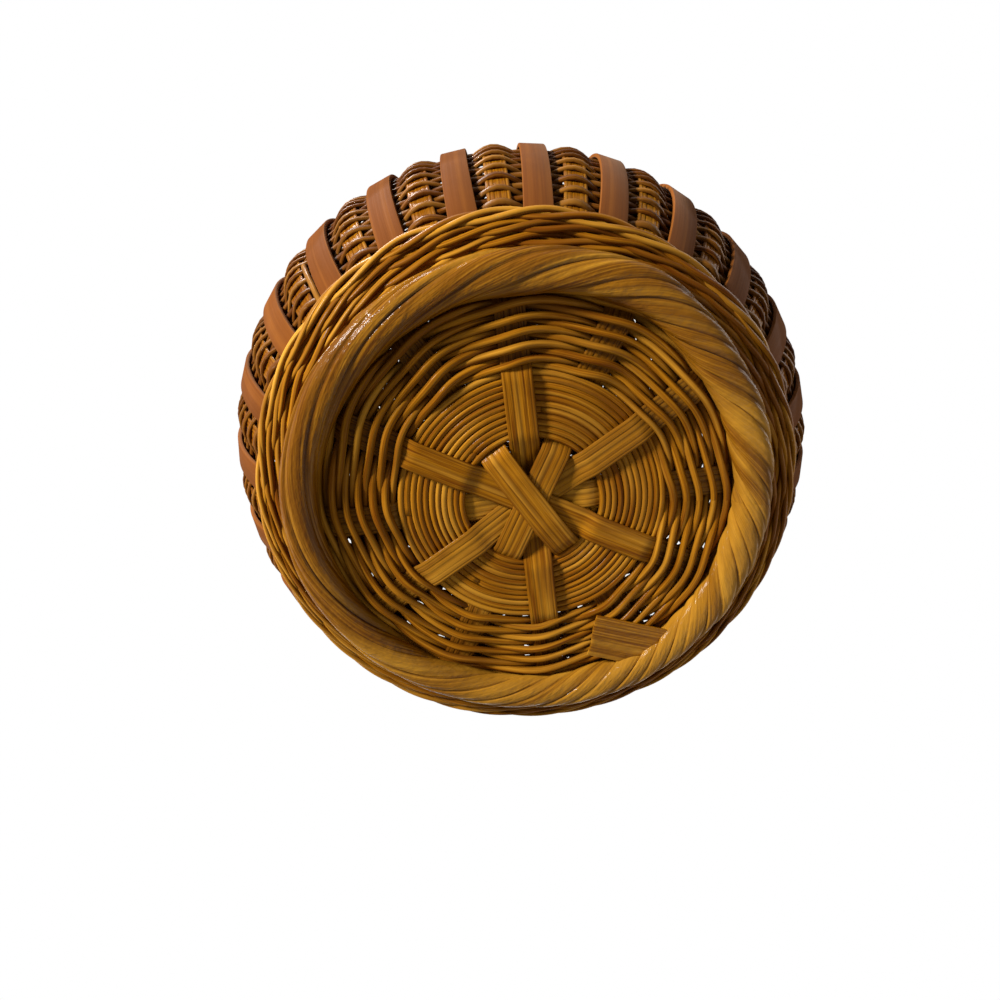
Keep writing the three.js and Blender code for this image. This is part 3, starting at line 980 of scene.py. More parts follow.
@dataclass
class BaseStar:
    """Six grooved strips that cross in the base and climb into the wall."""

    width: float = 8.0
    thickness: float = 0.8
    flutes: int = 6
    groove: float = 0.12
    star_radius: float = 15.76
    stack_radius: float = 8.0
    bottom: float = 3.6             # under side of the lowest layer at the centre
    edge_bottom: float = 4.6        # and at the star's edge
    pitch: float = 1.1              # from one layer to the next
    below_band: float = 4.4
    above_band: float = 7.8
    band_inner: float = 18.76
    band_outer: float = 34.5
    # Painted shade where a strip runs under the twining, outside the fine band.
    painted_shade: float = 0.45            # how dark a strip is outside the fine band
    # Distance and height of the under side from the band to the strip's end in the wall.
    climb: tuple = ((38.6, 6.2), (52.9, 6.2), (55.1, 8.43), (57.2, 10.28), (60.0, 10.98),
                    (70.3, 10.98))
    stations: int = 171
    strips: tuple = (
        StarStrip("base_strip_1", 4, 0, 0, False, 0.64),
        StarStrip("base_strip_2", 2, 1, 0, False, 0.66),
        StarStrip("base_strip_3", 5, 2, 1, True, 0.36),
        StarStrip("base_strip_4", 1, 3, 1, True, 0.78),
        StarStrip("base_strip_5", 0, 4, 2, False, 0.88),
        StarStrip("base_strip_6", 3, 5, 1, True, 0.50),
    )

    def heights(self, strip: StarStrip, distance: np.ndarray) -> np.ndarray:
        """Gives the height of a strip's middle, with its bends softened.

        Args:
            strip: The strip.
            distance: Distances from the centre.

        Returns:
            One height for each distance.
        """
        stack = self.bottom + strip.layer * self.pitch
        band = self.below_band if strip.under else self.above_band
        route = ((0.0, stack), (self.stack_radius, stack),
                 (self.star_radius, self.edge_bottom + strip.edge * self.pitch),
                 (self.band_inner, band), (self.band_outer, band), *self.climb)
        at, bottom = np.array(route).T
        soft = [np.interp(np.clip(distance + aside, 0, at[-1]), at, bottom + self.thickness / 2)
                for aside in (-1.0, -0.5, 0.0, 0.5, 1.0)]
        return sum(soft) / len(soft)

    def build(self) -> None:
        """Builds and dresses the six strips."""
        section, flutes = grooved(self.width, self.thickness, self.flutes, self.groove)
        reach = self.climb[-1][0]
        along = np.linspace(-reach, reach, self.stations)
        # Painted shade outside the fine band, where the strips lie under the twining.
        painted_shade = np.interp(np.abs(along), [34.0, 39.0], [0.0, self.painted_shade])[:, None]
        for strip in self.strips:
            azimuth = math.radians(FIRST_SPOKE - strip.turn * 360 / SPOKES)
            height = self.heights(strip, np.abs(along))
            path = np.stack([along * math.cos(azimuth), along * math.sin(azimuth), height], -1)
            bundle = Bundle(strip.name)
            bundle.add(path, DOWN, section, strip.tone, crevice=np.clip(flutes + painted_shade, 0, 1))
            dress(bundle.build(), Slot.GOLDEN_CANE, Body.BASKET, strip.name)


@dataclass
class FineBand:
    """The close rows that one fine reed makes round the star."""

    inner: float = 17.0
    outer: float = 36.7
    margin: float = 0.9             # from the band's edge to the middle of its outermost row
    turns: int = 11
    start: float = 21.0             # degrees to the reed's ends, which lie behind a strip
    height: float = 6.5
    lift: float = 0.45              # how far a row bends round a strip
    width: float = 1.75
    thickness: float = 1.35
    lengths: int = 7                # the reed is laid on in so many lengths
    tucked: tuple = (0.3, 0.6, 0.9)     # how deep the last points of a length go
    stations: int = 96              # points in one turn

    def build(self) -> None:
        """Builds and dresses the band, a spiral of one reed."""
        rng = np.random.default_rng(21)
        total = self.turns * self.stations
        turn = np.arange(total + 1) * TAU / self.stations
        rows = self.outer - self.inner - 2 * self.margin
        radius = self.inner + self.margin + rows * turn / turn[-1]
        turn = turn + math.radians(self.start)
        radius = radius + wander(rng, turn, 0.13, (0.7, 1.9, 3.3, 5.1))
        # The reed goes over a strip and under the next one, less so nearer the star.
        crossing = math.radians(FIRST_SPOKE - 360 / SPOKES)
        wave = np.cos(SPOKES / 2 * (turn - crossing))
        grown = 0.6 + 0.4 * (radius / ((self.inner + self.outer) / 2) - 0.5)
        path = around(turn, radius, self.height + self.lift * grown * wave)
        tone = 0.5 + wander(rng, turn, 0.42, (0.37, 0.83, 1.7, 2.9))
        section = oval(self.width, self.thickness, 10, 2.0)
        bundle = Bundle("base_band_reed")
        overlap = len(self.tucked)
        cuts = np.linspace(0, total, self.lengths + 1).astype(int)
        for first, last in zip(cuts[:-1], cuts[1:]):
            length = slice(first, min(last + overlap, total + 1))
            run = path[length].copy()
            if last < total:
                run[-overlap:, 2] += self.tucked
            bundle.add(run, DOWN, section, tone[length])
        dress(bundle.build(), Slot.GOLDEN_CANE, Body.BASKET, "base_band")


@dataclass
class Twining:
    """Rows of two strands that turn about each other round the twelve spokes of the base."""

    first_radius: float = 38.0
    pitch: float = 3.6
    rows: int = 6
    height: float = 6.6
    last_height: float = 9.0
    depth: float = 1.6              # how far a strand swings out and in
    side: float = 0.95              # how far it swings across the row
    strand: float = 2.0
    # Painted shade on a strand where it lies deepest.
    painted_shade: float = 0.55            # how dark a strand is where it lies deepest
    twist: Twist = Twist.Z
    # Radius and height of the plain rows that fill the corner inside the rope.
    corner: tuple = ((57.0, 12.9), (60.4, 13.1), (63.8, 13.1), (67.2, 13.1))
    corner_width: float = 3.2
    corner_thickness: float = 2.0
    stations: int = 240

    def build(self) -> None:
        """Builds and dresses the twined rows and the plain rows of the inside corner."""
        rng = np.random.default_rng(31)
        turn = full_turn(self.stations)
        twined = Bundle("twining_strands")
        for row in range(self.rows):
            radius = self.first_radius + row * self.pitch + wander(rng, turn, 0.22)
            middle = self.height if row < self.rows - 1 else self.last_height
            for strand in range(2):
                swing = SPOKES / 2 * (turn - math.radians(FIRST_SPOKE)) + math.pi * (strand + row)
                swing = swing + 0.25 * np.sin(2 * swing)
                path = around(turn, radius + self.twist.value * self.side * np.sin(swing),
                              middle - self.depth * np.cos(swing))
                # Painted shade where the strand swings in, away from the underside.
                deep = np.clip(-np.cos(swing), 0, 1)[:, None]
                section = oval(self.strand * rng.uniform(0.92, 1.1), self.strand * 0.9, 8, 2.0)
                twined.add(path, DOWN, section, 0.5 + rng.normal(0, 0.2) + wander(rng, turn, 0.2),
                           closed=True, crevice=self.painted_shade * deep)
        dress(twined.build(), Slot.GOLDEN_CANE, Body.BASKET, "twining_outside")
        plain = Bundle("corner_rows")
        section = oval(self.corner_width, self.corner_thickness, 8, 2.2)
        for radius, height in self.corner:
            path = around(turn, radius + wander(rng, turn, 0.15), height)
            plain.add(path, UP, section, 0.5 + rng.normal(0, 0.15), closed=True)
        dress(plain.build(), Slot.GOLDEN_CANE, Body.BASKET, "twining_inside")


class Bend(NamedTuple):
    """A place where a rope's ring is not true."""

    azimuth: float                  # degrees from +X
    shift: float                    # mm outwards
    spread: float                   # degrees that it reaches to each side


@dataclass
class WoundRope:
    """A ring of rope wound from flat strips of peel on a slant, each lapped over the next."""

    name: str
    node: str
    body: Body
    ring_radius: float
    height: float
    across: float                   # semi-axis away from the ring's axis
    upright: float                  # semi-axis along the ring's axis
    widths: tuple = (1.25, 0.8, 1.1, 0.7, 1.0, 0.85)    # of the strips, beside each other
    laps: tuple = (1.0, 0.4, 0.75, 0.3, 0.9, 0.5)       # how high each strip's free edge stands
    lap: float = 0.75               # mm that the highest free edge stands over the next strip
    turns: int = 5
    twist: Twist = Twist.Z
    uneven: float = 0.0             # how much the lay tightens at tight_at
    tight_at: float = 0.0
    bends: Sequence[Bend] = ()
    broad: float = 0.0              # how much broader the rope is at broad_at
    broad_at: float = 0.0
    # Painted shade on the rope's outer side, which also dulls its shine there.
    outer_painted_shade: float = 0.0         # how dark its outer side is
    tone: float = 0.55
    # Painted light: the peel is painted paler on the side at lit_at, where the light falls most.
    painted_light_lean: float = 0.0          # how much paler the peel is at lit_at
    lit_at: float = 80.0
    stations: int = 600             # sections round the ring
    points: int = 16                # points across a strip
    seed: int = 41

    def strip_face(self) -> tuple[np.ndarray, np.ndarray]:
        """Gives the face of all strips beside each other, once round the rope.

        Returns:
            How far each point stands out, and how deep it lies between two strips.
        """
        f = np.arange(self.points) / self.points
        # A strip comes from under its neighbour, rises to its free edge, rounds it and drops.
        edge, rounding = 0.955, 0.90
        rise = np.where(f < edge, (f / edge) ** 1.3, 0.0) - 0.5
        rounded = 0.10 * (f - rounding) / (edge - rounding)
        rise = np.where((f > rounding) & (f < edge), rise - rounded, rise)
        groove = np.exp(-((f - 0.985) / 0.022) ** 2) + np.exp(-((f + 0.015) / 0.035) ** 2)
        crown = 0.48 * np.sin(f * math.pi)
        lift = [rise * self.lap * high + crown * wide - groove * 0.42 * high
                for high, wide in zip(self.laps, self.widths)]
        # Painted shade in the crack under each strip's free edge, more where the edge stands high.
        dark = [np.clip(groove * 1.3, 0, 1) * min(1.0, high + 0.2) for high in self.laps]
        return np.concatenate(lift), np.concatenate(dark)

    def build(self) -> None:
        """Builds and dresses the rope."""
        rng = np.random.default_rng(self.seed)
        turn = full_turn(self.stations)
        lift, dark = self.strip_face()
        strips = len(self.widths)
        place = np.arange(len(lift)) / self.points
        ends = np.concatenate([[0.0], np.cumsum(self.widths)]) / sum(self.widths)
        base = np.interp(place, np.arange(strips + 1), ends) * TAU
        wound = turn + self.uneven * np.sin(turn - math.radians(self.tight_at))
        angle = base[None, :] + self.twist.value * self.turns * wound[:, None]
        slide = np.zeros_like(angle)
        swell = np.ones_like(angle)
        shade = np.zeros_like(angle)
        for strip in range(strips):
            away = (place - strip - 0.5 + strips / 2) % strips - strips / 2
            window = np.exp(-away ** 2 * 3)
            slide += window * wander(rng, turn, 0.12, (3, 4, 7, 11))[:, None]
            swell += window * wander(rng, turn, 0.045, (2, 5, 9, 14))[:, None]
            shade += window * (rng.uniform(-0.2, 0.2) + wander(rng, turn, 0.15, (3, 5, 9)))[:, None]
        angle = angle + slide
        broad = 1 + self.broad * np.cos(turn - math.radians(self.broad_at))
        broad = (broad + wander(rng, turn, 0.02, (2, 3, 6)))[:, None]
        # The strips' crowns and free edges stand up to the rope's outline from a little inside it.
        inset = 0.4
        section = np.stack([((self.across - inset) * broad * swell + lift) * np.cos(angle),
                            ((self.upright - inset) * swell + lift) * np.sin(angle)], -1)
        # The rope is pressed flat where it stands and where it carries the base.
        section[..., 1] /= (1 + (np.abs(section[..., 1]) / self.upright) ** 8) ** (1 / 8)
        middle = self.ring_radius + wander(rng, turn, 0.25, (2, 3, 5))
        for bend in self.bends:
            beside = (np.degrees(turn) - bend.azimuth + 180) % 360 - 180
            middle = middle + bend.shift * np.exp(-(beside / bend.spread) ** 2)
        # How open each crack is, which scales its painted shade.
        open_lap = np.clip(0.85 + wander(rng, turn, 0.4, (5, 9, 16, 23)), 0, 1)[:, None]
        # The painted shade of the outer side lies further under the rope at +Y, where the camera
        # below sees that side edge on.
        below = np.radians(14.0 + 20.0 * np.sin(turn))[:, None]
        side = self.outer_painted_shade * np.clip(np.cos(angle + below), 0, 1) ** 5
        # Painted light: paler towards lit_at, darker on the far side.
        tone = self.tone + self.painted_light_lean * np.cos(turn - math.radians(self.lit_at))[:, None]
        bundle = Bundle(self.name)
        bundle.add(around(turn, middle, self.height), UP, section, tone + shade, closed=True,
                   crevice=np.clip(dark * open_lap + side, 0, 1))
        dress(bundle.build(), Slot.ROPE_PEEL, self.body, self.node)


@dataclass
class RopeTail:
    """The cut end of the rope's strip, which comes out under the rope and lies on the base."""

    width: float = 13.0
    thickness: float = 0.9
    aside: float = 34.8             # from the centre to the strip's middle line
    reach: float = 26.8             # along the strip to its cut end
    rope_face: float = 57.0
    direction: float = 14.4         # degrees from +X to the way it runs
    bottom: float = 2.7
    cuts: int = 17

    def build(self) -> None:
        """Models the tail: a plane, run to the rope's face, cupped, thickened and softened."""
        piece = Bench.start("rope_tail_strip", bpy.ops.mesh.primitive_plane_add, size=1.0)
        piece.matrix_world = (Matrix.Translation((0.5, self.aside * MM, 0))
                              @ Matrix.Diagonal((1.0, self.width * MM, 1, 1)))
        Bench.settle(piece)
        with Bench.editing(piece):
            bpy.ops.mesh.subdivide(number_cuts=self.cuts)
        for vertex in piece.data.vertices:
            out, side = vertex.co.x, vertex.co.y / MM
            end = math.sqrt(self.rope_face ** 2 - side ** 2)
            across = (side - self.aside) / self.width
            start = self.reach + 0.5 * math.sin(across * 5)
            cup = 0.5 * math.cos(across * math.pi) - 0.35 * (1 - out) ** 2
            vertex.co.x = (start + (end - start) * out) * MM
            vertex.co.z = (self.bottom + self.thickness - cup * 0.6) * MM
        Bench.modifier(piece, "SOLIDIFY", thickness=self.thickness * MM, offset=-1.0)
        Bench.soften(piece, 0.2)
        Bench.map_strip(piece, lambda p: (p.x, p.y + p.z * 0.5))
        piece.data.transform(Matrix.Rotation(math.radians(self.direction), 4, "Z"))
        Bench.shade(piece)
        dress(piece, Slot.ROPE_PEEL, Body.BASKET, "rope_tail")


# The wall


@dataclass
class Waling:
    """A band of strands that cross each other on long slants and hold the ribs' ends."""

    name: str
    node: str
    groups: tuple                   # angle up the wall and growth for each group of strands
    strands: int = 3
    swings: int = 12
    side: float = 1.5               # mm that a strand swings along the wall
    depth: float = 0.6              # mm that it swings out and in
    width: float = 1.95
    thickness: float = 1.3
    tone: float = 0.52
    # Painted light: the strands are painted paler on the side at lit_at, where the light falls
    # most.
    painted_light_lean: float = 0.0          # how much paler the strands are at lit_at
    lit_at: float = 180.0
    stations: int = 288
    seed: int = 51

    def build(self) -> None:
        """Builds and dresses the band."""
        rng = np.random.default_rng(self.seed)
        turn = full_turn(self.stations)
        # Painted light: paler towards lit_at, darker on the far side.
        tone = self.tone + self.painted_light_lean * np.cos(turn - math.radians(self.lit_at))
        bundle = Bundle(self.name)
        for angle, growth in self.groups:
            for strand in range(self.strands):
                swing = self.swings * turn + TAU * strand / self.strands + rng.uniform(-0.3, 0.3)
                swing = swing + wander(rng, turn, 0.5, (1, 2, 3, 5))
                along = self.side * np.sin(swing) + wander(rng, turn, 0.35)
                path, facing = WALL.line(turn, angle + np.degrees(along / WALL.radius),
                                         growth + self.depth * np.cos(swing))
                section = oval(self.width * rng.uniform(0.8, 1.1), self.thickness)
                bundle.add(path, facing, section,
                           tone + rng.normal(0, 0.24) + wander(rng, turn, 0.22), closed=True)
        dress(bundle.build(), Slot.GOLDEN_CANE, Body.BASKET, self.node)


@dataclass
class DomeWeave:
    """Plain weave on a dome: stakes, and weavers that pass over and behind them in turn."""

    name: str                       # what the names of its pieces start with
    dome: Dome
    body: Body
    slot: Slot                      # of the weavers
    stakes: int
    first_stake: float              # degrees from +X
    stake_ends: tuple               # degrees up the dome
    rows: np.ndarray                # degrees up the dome to each weaver
    middle: float                   # growth of the weave's middle between the stakes
    bulge: float                    # mm that the weave stands out at the stakes
    swing: float                    # mm that a weaver passes over or behind a stake
    weaver: tuple                   # width and thickness
    widths: tuple                   # shares of the width, of the narrowest and widest weaver
    straying: tuple                 # degrees that a row strays up and down, and its waves
    tones: tuple                    # how far the tone wanders from weaver to weaver, and in one
    stake: tuple                    # width and thickness
    flutes: tuple                   # number and depth of a stake's grooves
    stake_tones: tuple              # of the darkest and the palest stake
    back_width: float               # of the plain stakes that show between the others
    back_shift: float               # steps from a stake to the plain one beside it
    narrow: tuple = ()              # angles up the dome, and the stakes' widths there as shares
    closer: float = 0.0             # how much flatter the weave is at the top of the dome
    uneven: float = 0.0             # mm that the weave is uneven outwards
    drift: tuple = (0.0, 0.0)       # degrees that the stakes lie turned, and drift, by hand
    # Painted shade on a weaver where it lies deepest.
    painted_shade: float = 0.0             # how dark a weaver is where it lies deepest
    cells: int = 12                 # points from one stake to the next
    stations: int = 46              # points up a stake

    def drifted(self, turn: Numbers) -> Numbers:
        """Moves an even place round the dome, in radians, to where the hand has put it."""
        shift, size = self.drift
        return turn + math.radians(shift) - math.radians(size) * np.cos(turn)

    def places(self, shift: float = 0.0, count: int = 1) -> list[float]:
        """Gives the degrees to each stake, or to places beside them.

        Args:
            shift: Steps from the stakes to the places.
            count: 1 to count anticlockwise, -1 to count clockwise.

        Returns:
            One angle for each stake, drifted as by hand.
        """
        even = [self.first_stake + (number * count + shift) * 360 / self.stakes
                for number in range(self.stakes)]
        return [math.degrees(self.drifted(math.radians(azimuth))) for azimuth in even]

    def build_stakes(self, rng: np.random.Generator) -> None:
        """Builds and dresses the grooved stakes and the plain ones between them.

        Args:
            rng: Random numbers for their tones.
        """
        angles = np.linspace(*self.stake_ends, self.stations)
        section, flutes = grooved(*self.stake, *self.flutes)
        plain = oval(self.back_width, self.stake[1], 8, 4)
        if self.narrow:
            share = np.interp(angles, *self.narrow)
            narrow = np.stack([share, np.ones_like(share)], -1)[:, None]
            section, plain = section * narrow, plain * narrow
        face, back = Bundle(f"{self.name}_stakes"), Bundle(f"{self.name}_back_stakes")
        for azimuth in self.places():
            path, facing = self.dome.upright(azimuth, angles, self.middle + self.bulge)
            face.add(path, facing, section, rng.uniform(*self.stake_tones), crevice=flutes)
        for azimuth in self.places(self.back_shift):
            path, facing = self.dome.upright(azimuth, angles, self.middle)
            back.add(path, facing, plain, 0.4)
        dress(face.build(), Slot.GOLDEN_CANE, self.body)
        dress(back.build(), Slot.DARK_WEAVE, self.body)

    def weavers(self, rng: np.random.Generator) -> Bundle:
        """Lays the rows of weavers.

        Args:
            rng: Random numbers for their widths, ways and tones.

        Returns:
            The weavers, not yet made a piece.
        """
        turn = full_turn(self.stakes * self.cells)
        phase = self.stakes * (turn - math.radians(self.first_stake))
        bundle = Bundle(f"{self.name}_weavers")
        for row, angle in enumerate(self.rows):
            over = np.cos(phase + math.pi * row)
            flatter = 1 - self.closer * (1 - math.cos(math.radians(angle)))
            angles = angle + wander(rng, turn, *self.straying)
            growth = self.bulge * (1 + np.cos(phase)) / 2 + self.swing * over
            growth = self.middle + flatter * growth
            if self.uneven:
                growth = growth + wander(rng, turn, self.uneven, (5, 9, 13))
            path, facing = self.dome.line(self.drifted(turn), angles, growth)
            section = oval(self.weaver[0] * rng.uniform(*self.widths), self.weaver[1], 8, 2.1)
            tone = 0.5 + rng.normal(0, self.tones[0]) + wander(rng, turn, self.tones[1])
            # Painted shade where the weaver swings inwards, weaker at the stakes.
            deep = (1 - over) / 2 * (1 - 0.5 * np.cos(phase)) / 1.5
            bundle.add(path, facing, section, tone, closed=True,
                       crevice=self.painted_shade * deep[:, None])
        return bundle


@dataclass
class Wall:
    """The bulging wall: tan stakes, dark weavers and the brown ribs laid over them."""

    first_rib: float = -13.5        # degrees from +X
    ribs: int = 24
    rib_inset: float = 1.0          # degrees from the wall's edge to a rib's end
    foot: float = 51.98             # degrees up the ball to the wall's edges
    mouth: float = 129.55
    rows: int = 40
    loose_end: float = -135.6       # degrees to the end of a weaver that lies free on the wall
    loose_from: float = 52.8        # degrees up the ball to its ends
    loose_to: float = 70.5

    def weave(self) -> DomeWeave:
        """Gives the sizes of the wall's weave.

        Returns:
            The weave, not yet built.
        """
        return DomeWeave(
            "wall", WALL, Body.BASKET, Slot.DARK_WEAVE, stakes=self.ribs,
            first_stake=self.first_rib + 180 / self.ribs, drift=(0.3, 2.0),
            stake_ends=(self.foot + 0.2, self.mouth - 0.2), stake=(6.2, 0.8), flutes=(5, 0.12),
            stake_tones=(0.0, 0.34), back_width=7.4, back_shift=-0.5,
            rows=np.linspace(self.foot + 0.6, self.mouth - 0.6, self.rows),
            middle=-1.65, bulge=1.75, swing=1.05, weaver=(2.7, 1.15), widths=(0.80, 1.06),
            straying=(0.24, (5, 9, 13, 19)), uneven=0.08, tones=(0.2, 0.2), painted_shade=0.40)

    def add_loose_end(self, bundle: Bundle) -> None:
        """Adds the pale end of a weaver that stands a little off the wall.

        Args:
            bundle: The weavers.
        """
        low, high = self.loose_from, self.loose_to
        angles = np.linspace(high, low, 16)
        growth = np.interp(angles, [low, 56, 62, 68, high], [0.6, 1.5, 1.9, 1.1, -0.6])
        azimuth = self.loose_end + 0.5 * np.sin(np.radians((angles - low) * 12))
        path, facing = WALL.line(np.radians(azimuth), angles, growth)
        bundle.add(path, facing, oval(1.7, 1.2, 8, 2.0), 1.0)

    def build(self) -> None:
        """Builds and dresses the whole wall."""
        weave = self.weave()
        weave.build_stakes(np.random.default_rng(62))
        weavers = weave.weavers(np.random.default_rng(61))
        self.add_loose_end(weavers)
        dress(weavers.build(), Slot.DARK_WEAVE, Body.BASKET, "wall_weave")
        rib = BentStrip(WALL, self.foot + self.rib_inset, self.mouth - self.rib_inset)
        Ribs("wall_rib", Body.BASKET, rib, weave.places(-0.5, count=-1), 63).build()


# The lid


@dataclass
class SeatRing:
    """The short collar inside the lid's rope, of round canes laid on each other."""

    radius: float = 61.7
    bottom: float = 122.7
    top: float = 140.6
    canes: int = 7
    thickness: float = 1.9
    stations: int = 180

    def build(self) -> None:
        """Builds and dresses the collar."""
        rng = np.random.default_rng(71)
        turn = full_turn(self.stations)
        pitch = (self.top - self.bottom) / self.canes
        section = oval(pitch * 0.98, self.thickness, 10, 2.2)
        bundle = Bundle("seat_ring_canes")
        for cane in range(self.canes):
            height = self.bottom + (cane + 0.5) * pitch
            path = around(turn, self.radius + wander(rng, turn, 0.06), height)
            bundle.add(path, around(turn, 1.0, 0.0), section,
                       0.5 + wander(rng, turn, 0.12) + rng.normal(0, 0.1), closed=True)
        dress(bundle.build(), Slot.GOLDEN_CANE, Body.LID, "lid_seat_ring")


@dataclass
class HeadDome:
    """The owl's head: a woven dome with brown ribs laid over it."""

    ribs: int = 10
    rib_end: float = 79.2           # degrees up the dome
    rib_tuck: float = 2.2           # degrees that a rib goes down into the rope
    stakes: int = 20
    pitch: float = 2.75             # mm from one row to the next
    last_radius: float = 13.5       # of the uppermost row

    def rows(self) -> np.ndarray:
        """Spaces the rows evenly along the dome's outline.

        Returns:
            Degrees up the dome to each row.
        """
        angles = np.linspace(0, math.degrees(math.acos(self.last_radius / HEAD.radius)), 400)
        r, z, _, _ = HEAD.point(angles)
        length = np.concatenate([[0], np.cumsum(np.hypot(np.diff(r), np.diff(z)))])
        count = int(length[-1] / self.pitch)
        return np.interp(np.linspace(1.0, length[-1], count), length, angles)

    def weave(self) -> DomeWeave:
        """Gives the sizes of the head's weave, whose stakes lie closer together higher up.

        Returns:
            The weave, not yet built.
        """
        rows = self.rows()
        return DomeWeave(
            "head", HEAD, Body.LID, Slot.HEAD_WEAVE, stakes=self.stakes,
            first_stake=FRONT + 180 / self.ribs + 180 / self.stakes,
            stake_ends=(0.3, rows[-1]), stake=(4.4, 0.7), flutes=(4, 0.18),
            narrow=((0, 55, rows[-1]), (1.0, 0.9, 0.5)), stake_tones=(0.35, 0.85),
            back_width=3.6, back_shift=0.5, rows=rows, middle=-1.2, bulge=0.6, swing=0.8,
            closer=0.45, weaver=(2.9, 1.15), widths=(0.9, 1.06), straying=(0.12, (3, 7, 11)),
            tones=(0.18, 0.1), stations=40)

    def build(self) -> None:
        """Builds and dresses the whole dome."""
        rng = np.random.default_rng(81)
        weave = self.weave()
        dress(weave.weavers(rng).build(), Slot.HEAD_WEAVE, Body.LID, "head_weave")
        weave.build_stakes(rng)
        azimuths = [FRONT + (number + 0.5) * 360 / self.ribs for number in range(self.ribs)]
        rib = BentStrip(HEAD, -self.rib_tuck, self.rib_end)
        Ribs("head_rib", Body.LID, rib, azimuths, 83).build()


def placed(points: np.ndarray, place: np.ndarray) -> np.ndarray:
    """Moves points from a piece's own frame to the basket's."""
    return points @ place[:3, :3].T + place[:3, 3]


def turned(directions: np.ndarray, place: np.ndarray) -> np.ndarray:
    """Turns directions from a piece's own frame to the basket's."""
    return directions @ place[:3, :3].T


def on_head(azimuth: float, lift: float, growth: float, spin: float = 0.0) -> np.ndarray:
    """Gives the frame of a place on the head.

    Args:
        azimuth: Degrees to the side of the face's middle.
        lift: Degrees up the dome.
        growth: Distance out from the dome.
        spin: Degrees turned about the outward direction.

    Returns:
        A 4 x 4 matrix in millimetres: across, up, outwards and the place.
    """
    turn, rise = math.radians(FRONT + azimuth), math.radians(lift)
    radius = (HEAD.radius + growth) * math.cos(rise)
    height = HEAD.centre + (HEAD.height + growth) * math.sin(rise)
    out = unit(np.array([math.cos(rise) * math.cos(turn) / HEAD.radius,
                         math.cos(rise) * math.sin(turn) / HEAD.radius,
                         math.sin(rise) / HEAD.height]))
    across = np.array([-math.sin(turn), math.cos(turn), 0.0])
    up = np.cross(out, across)
    c, s = math.cos(math.radians(spin)), math.sin(math.radians(spin))
    place = np.eye(4)
    place[:3, 0] = c * across + s * up
    place[:3, 1] = c * up - s * across
    place[:3, 2] = out
    place[:3, 3] = (radius * math.cos(turn), radius * math.sin(turn), height)
    return place


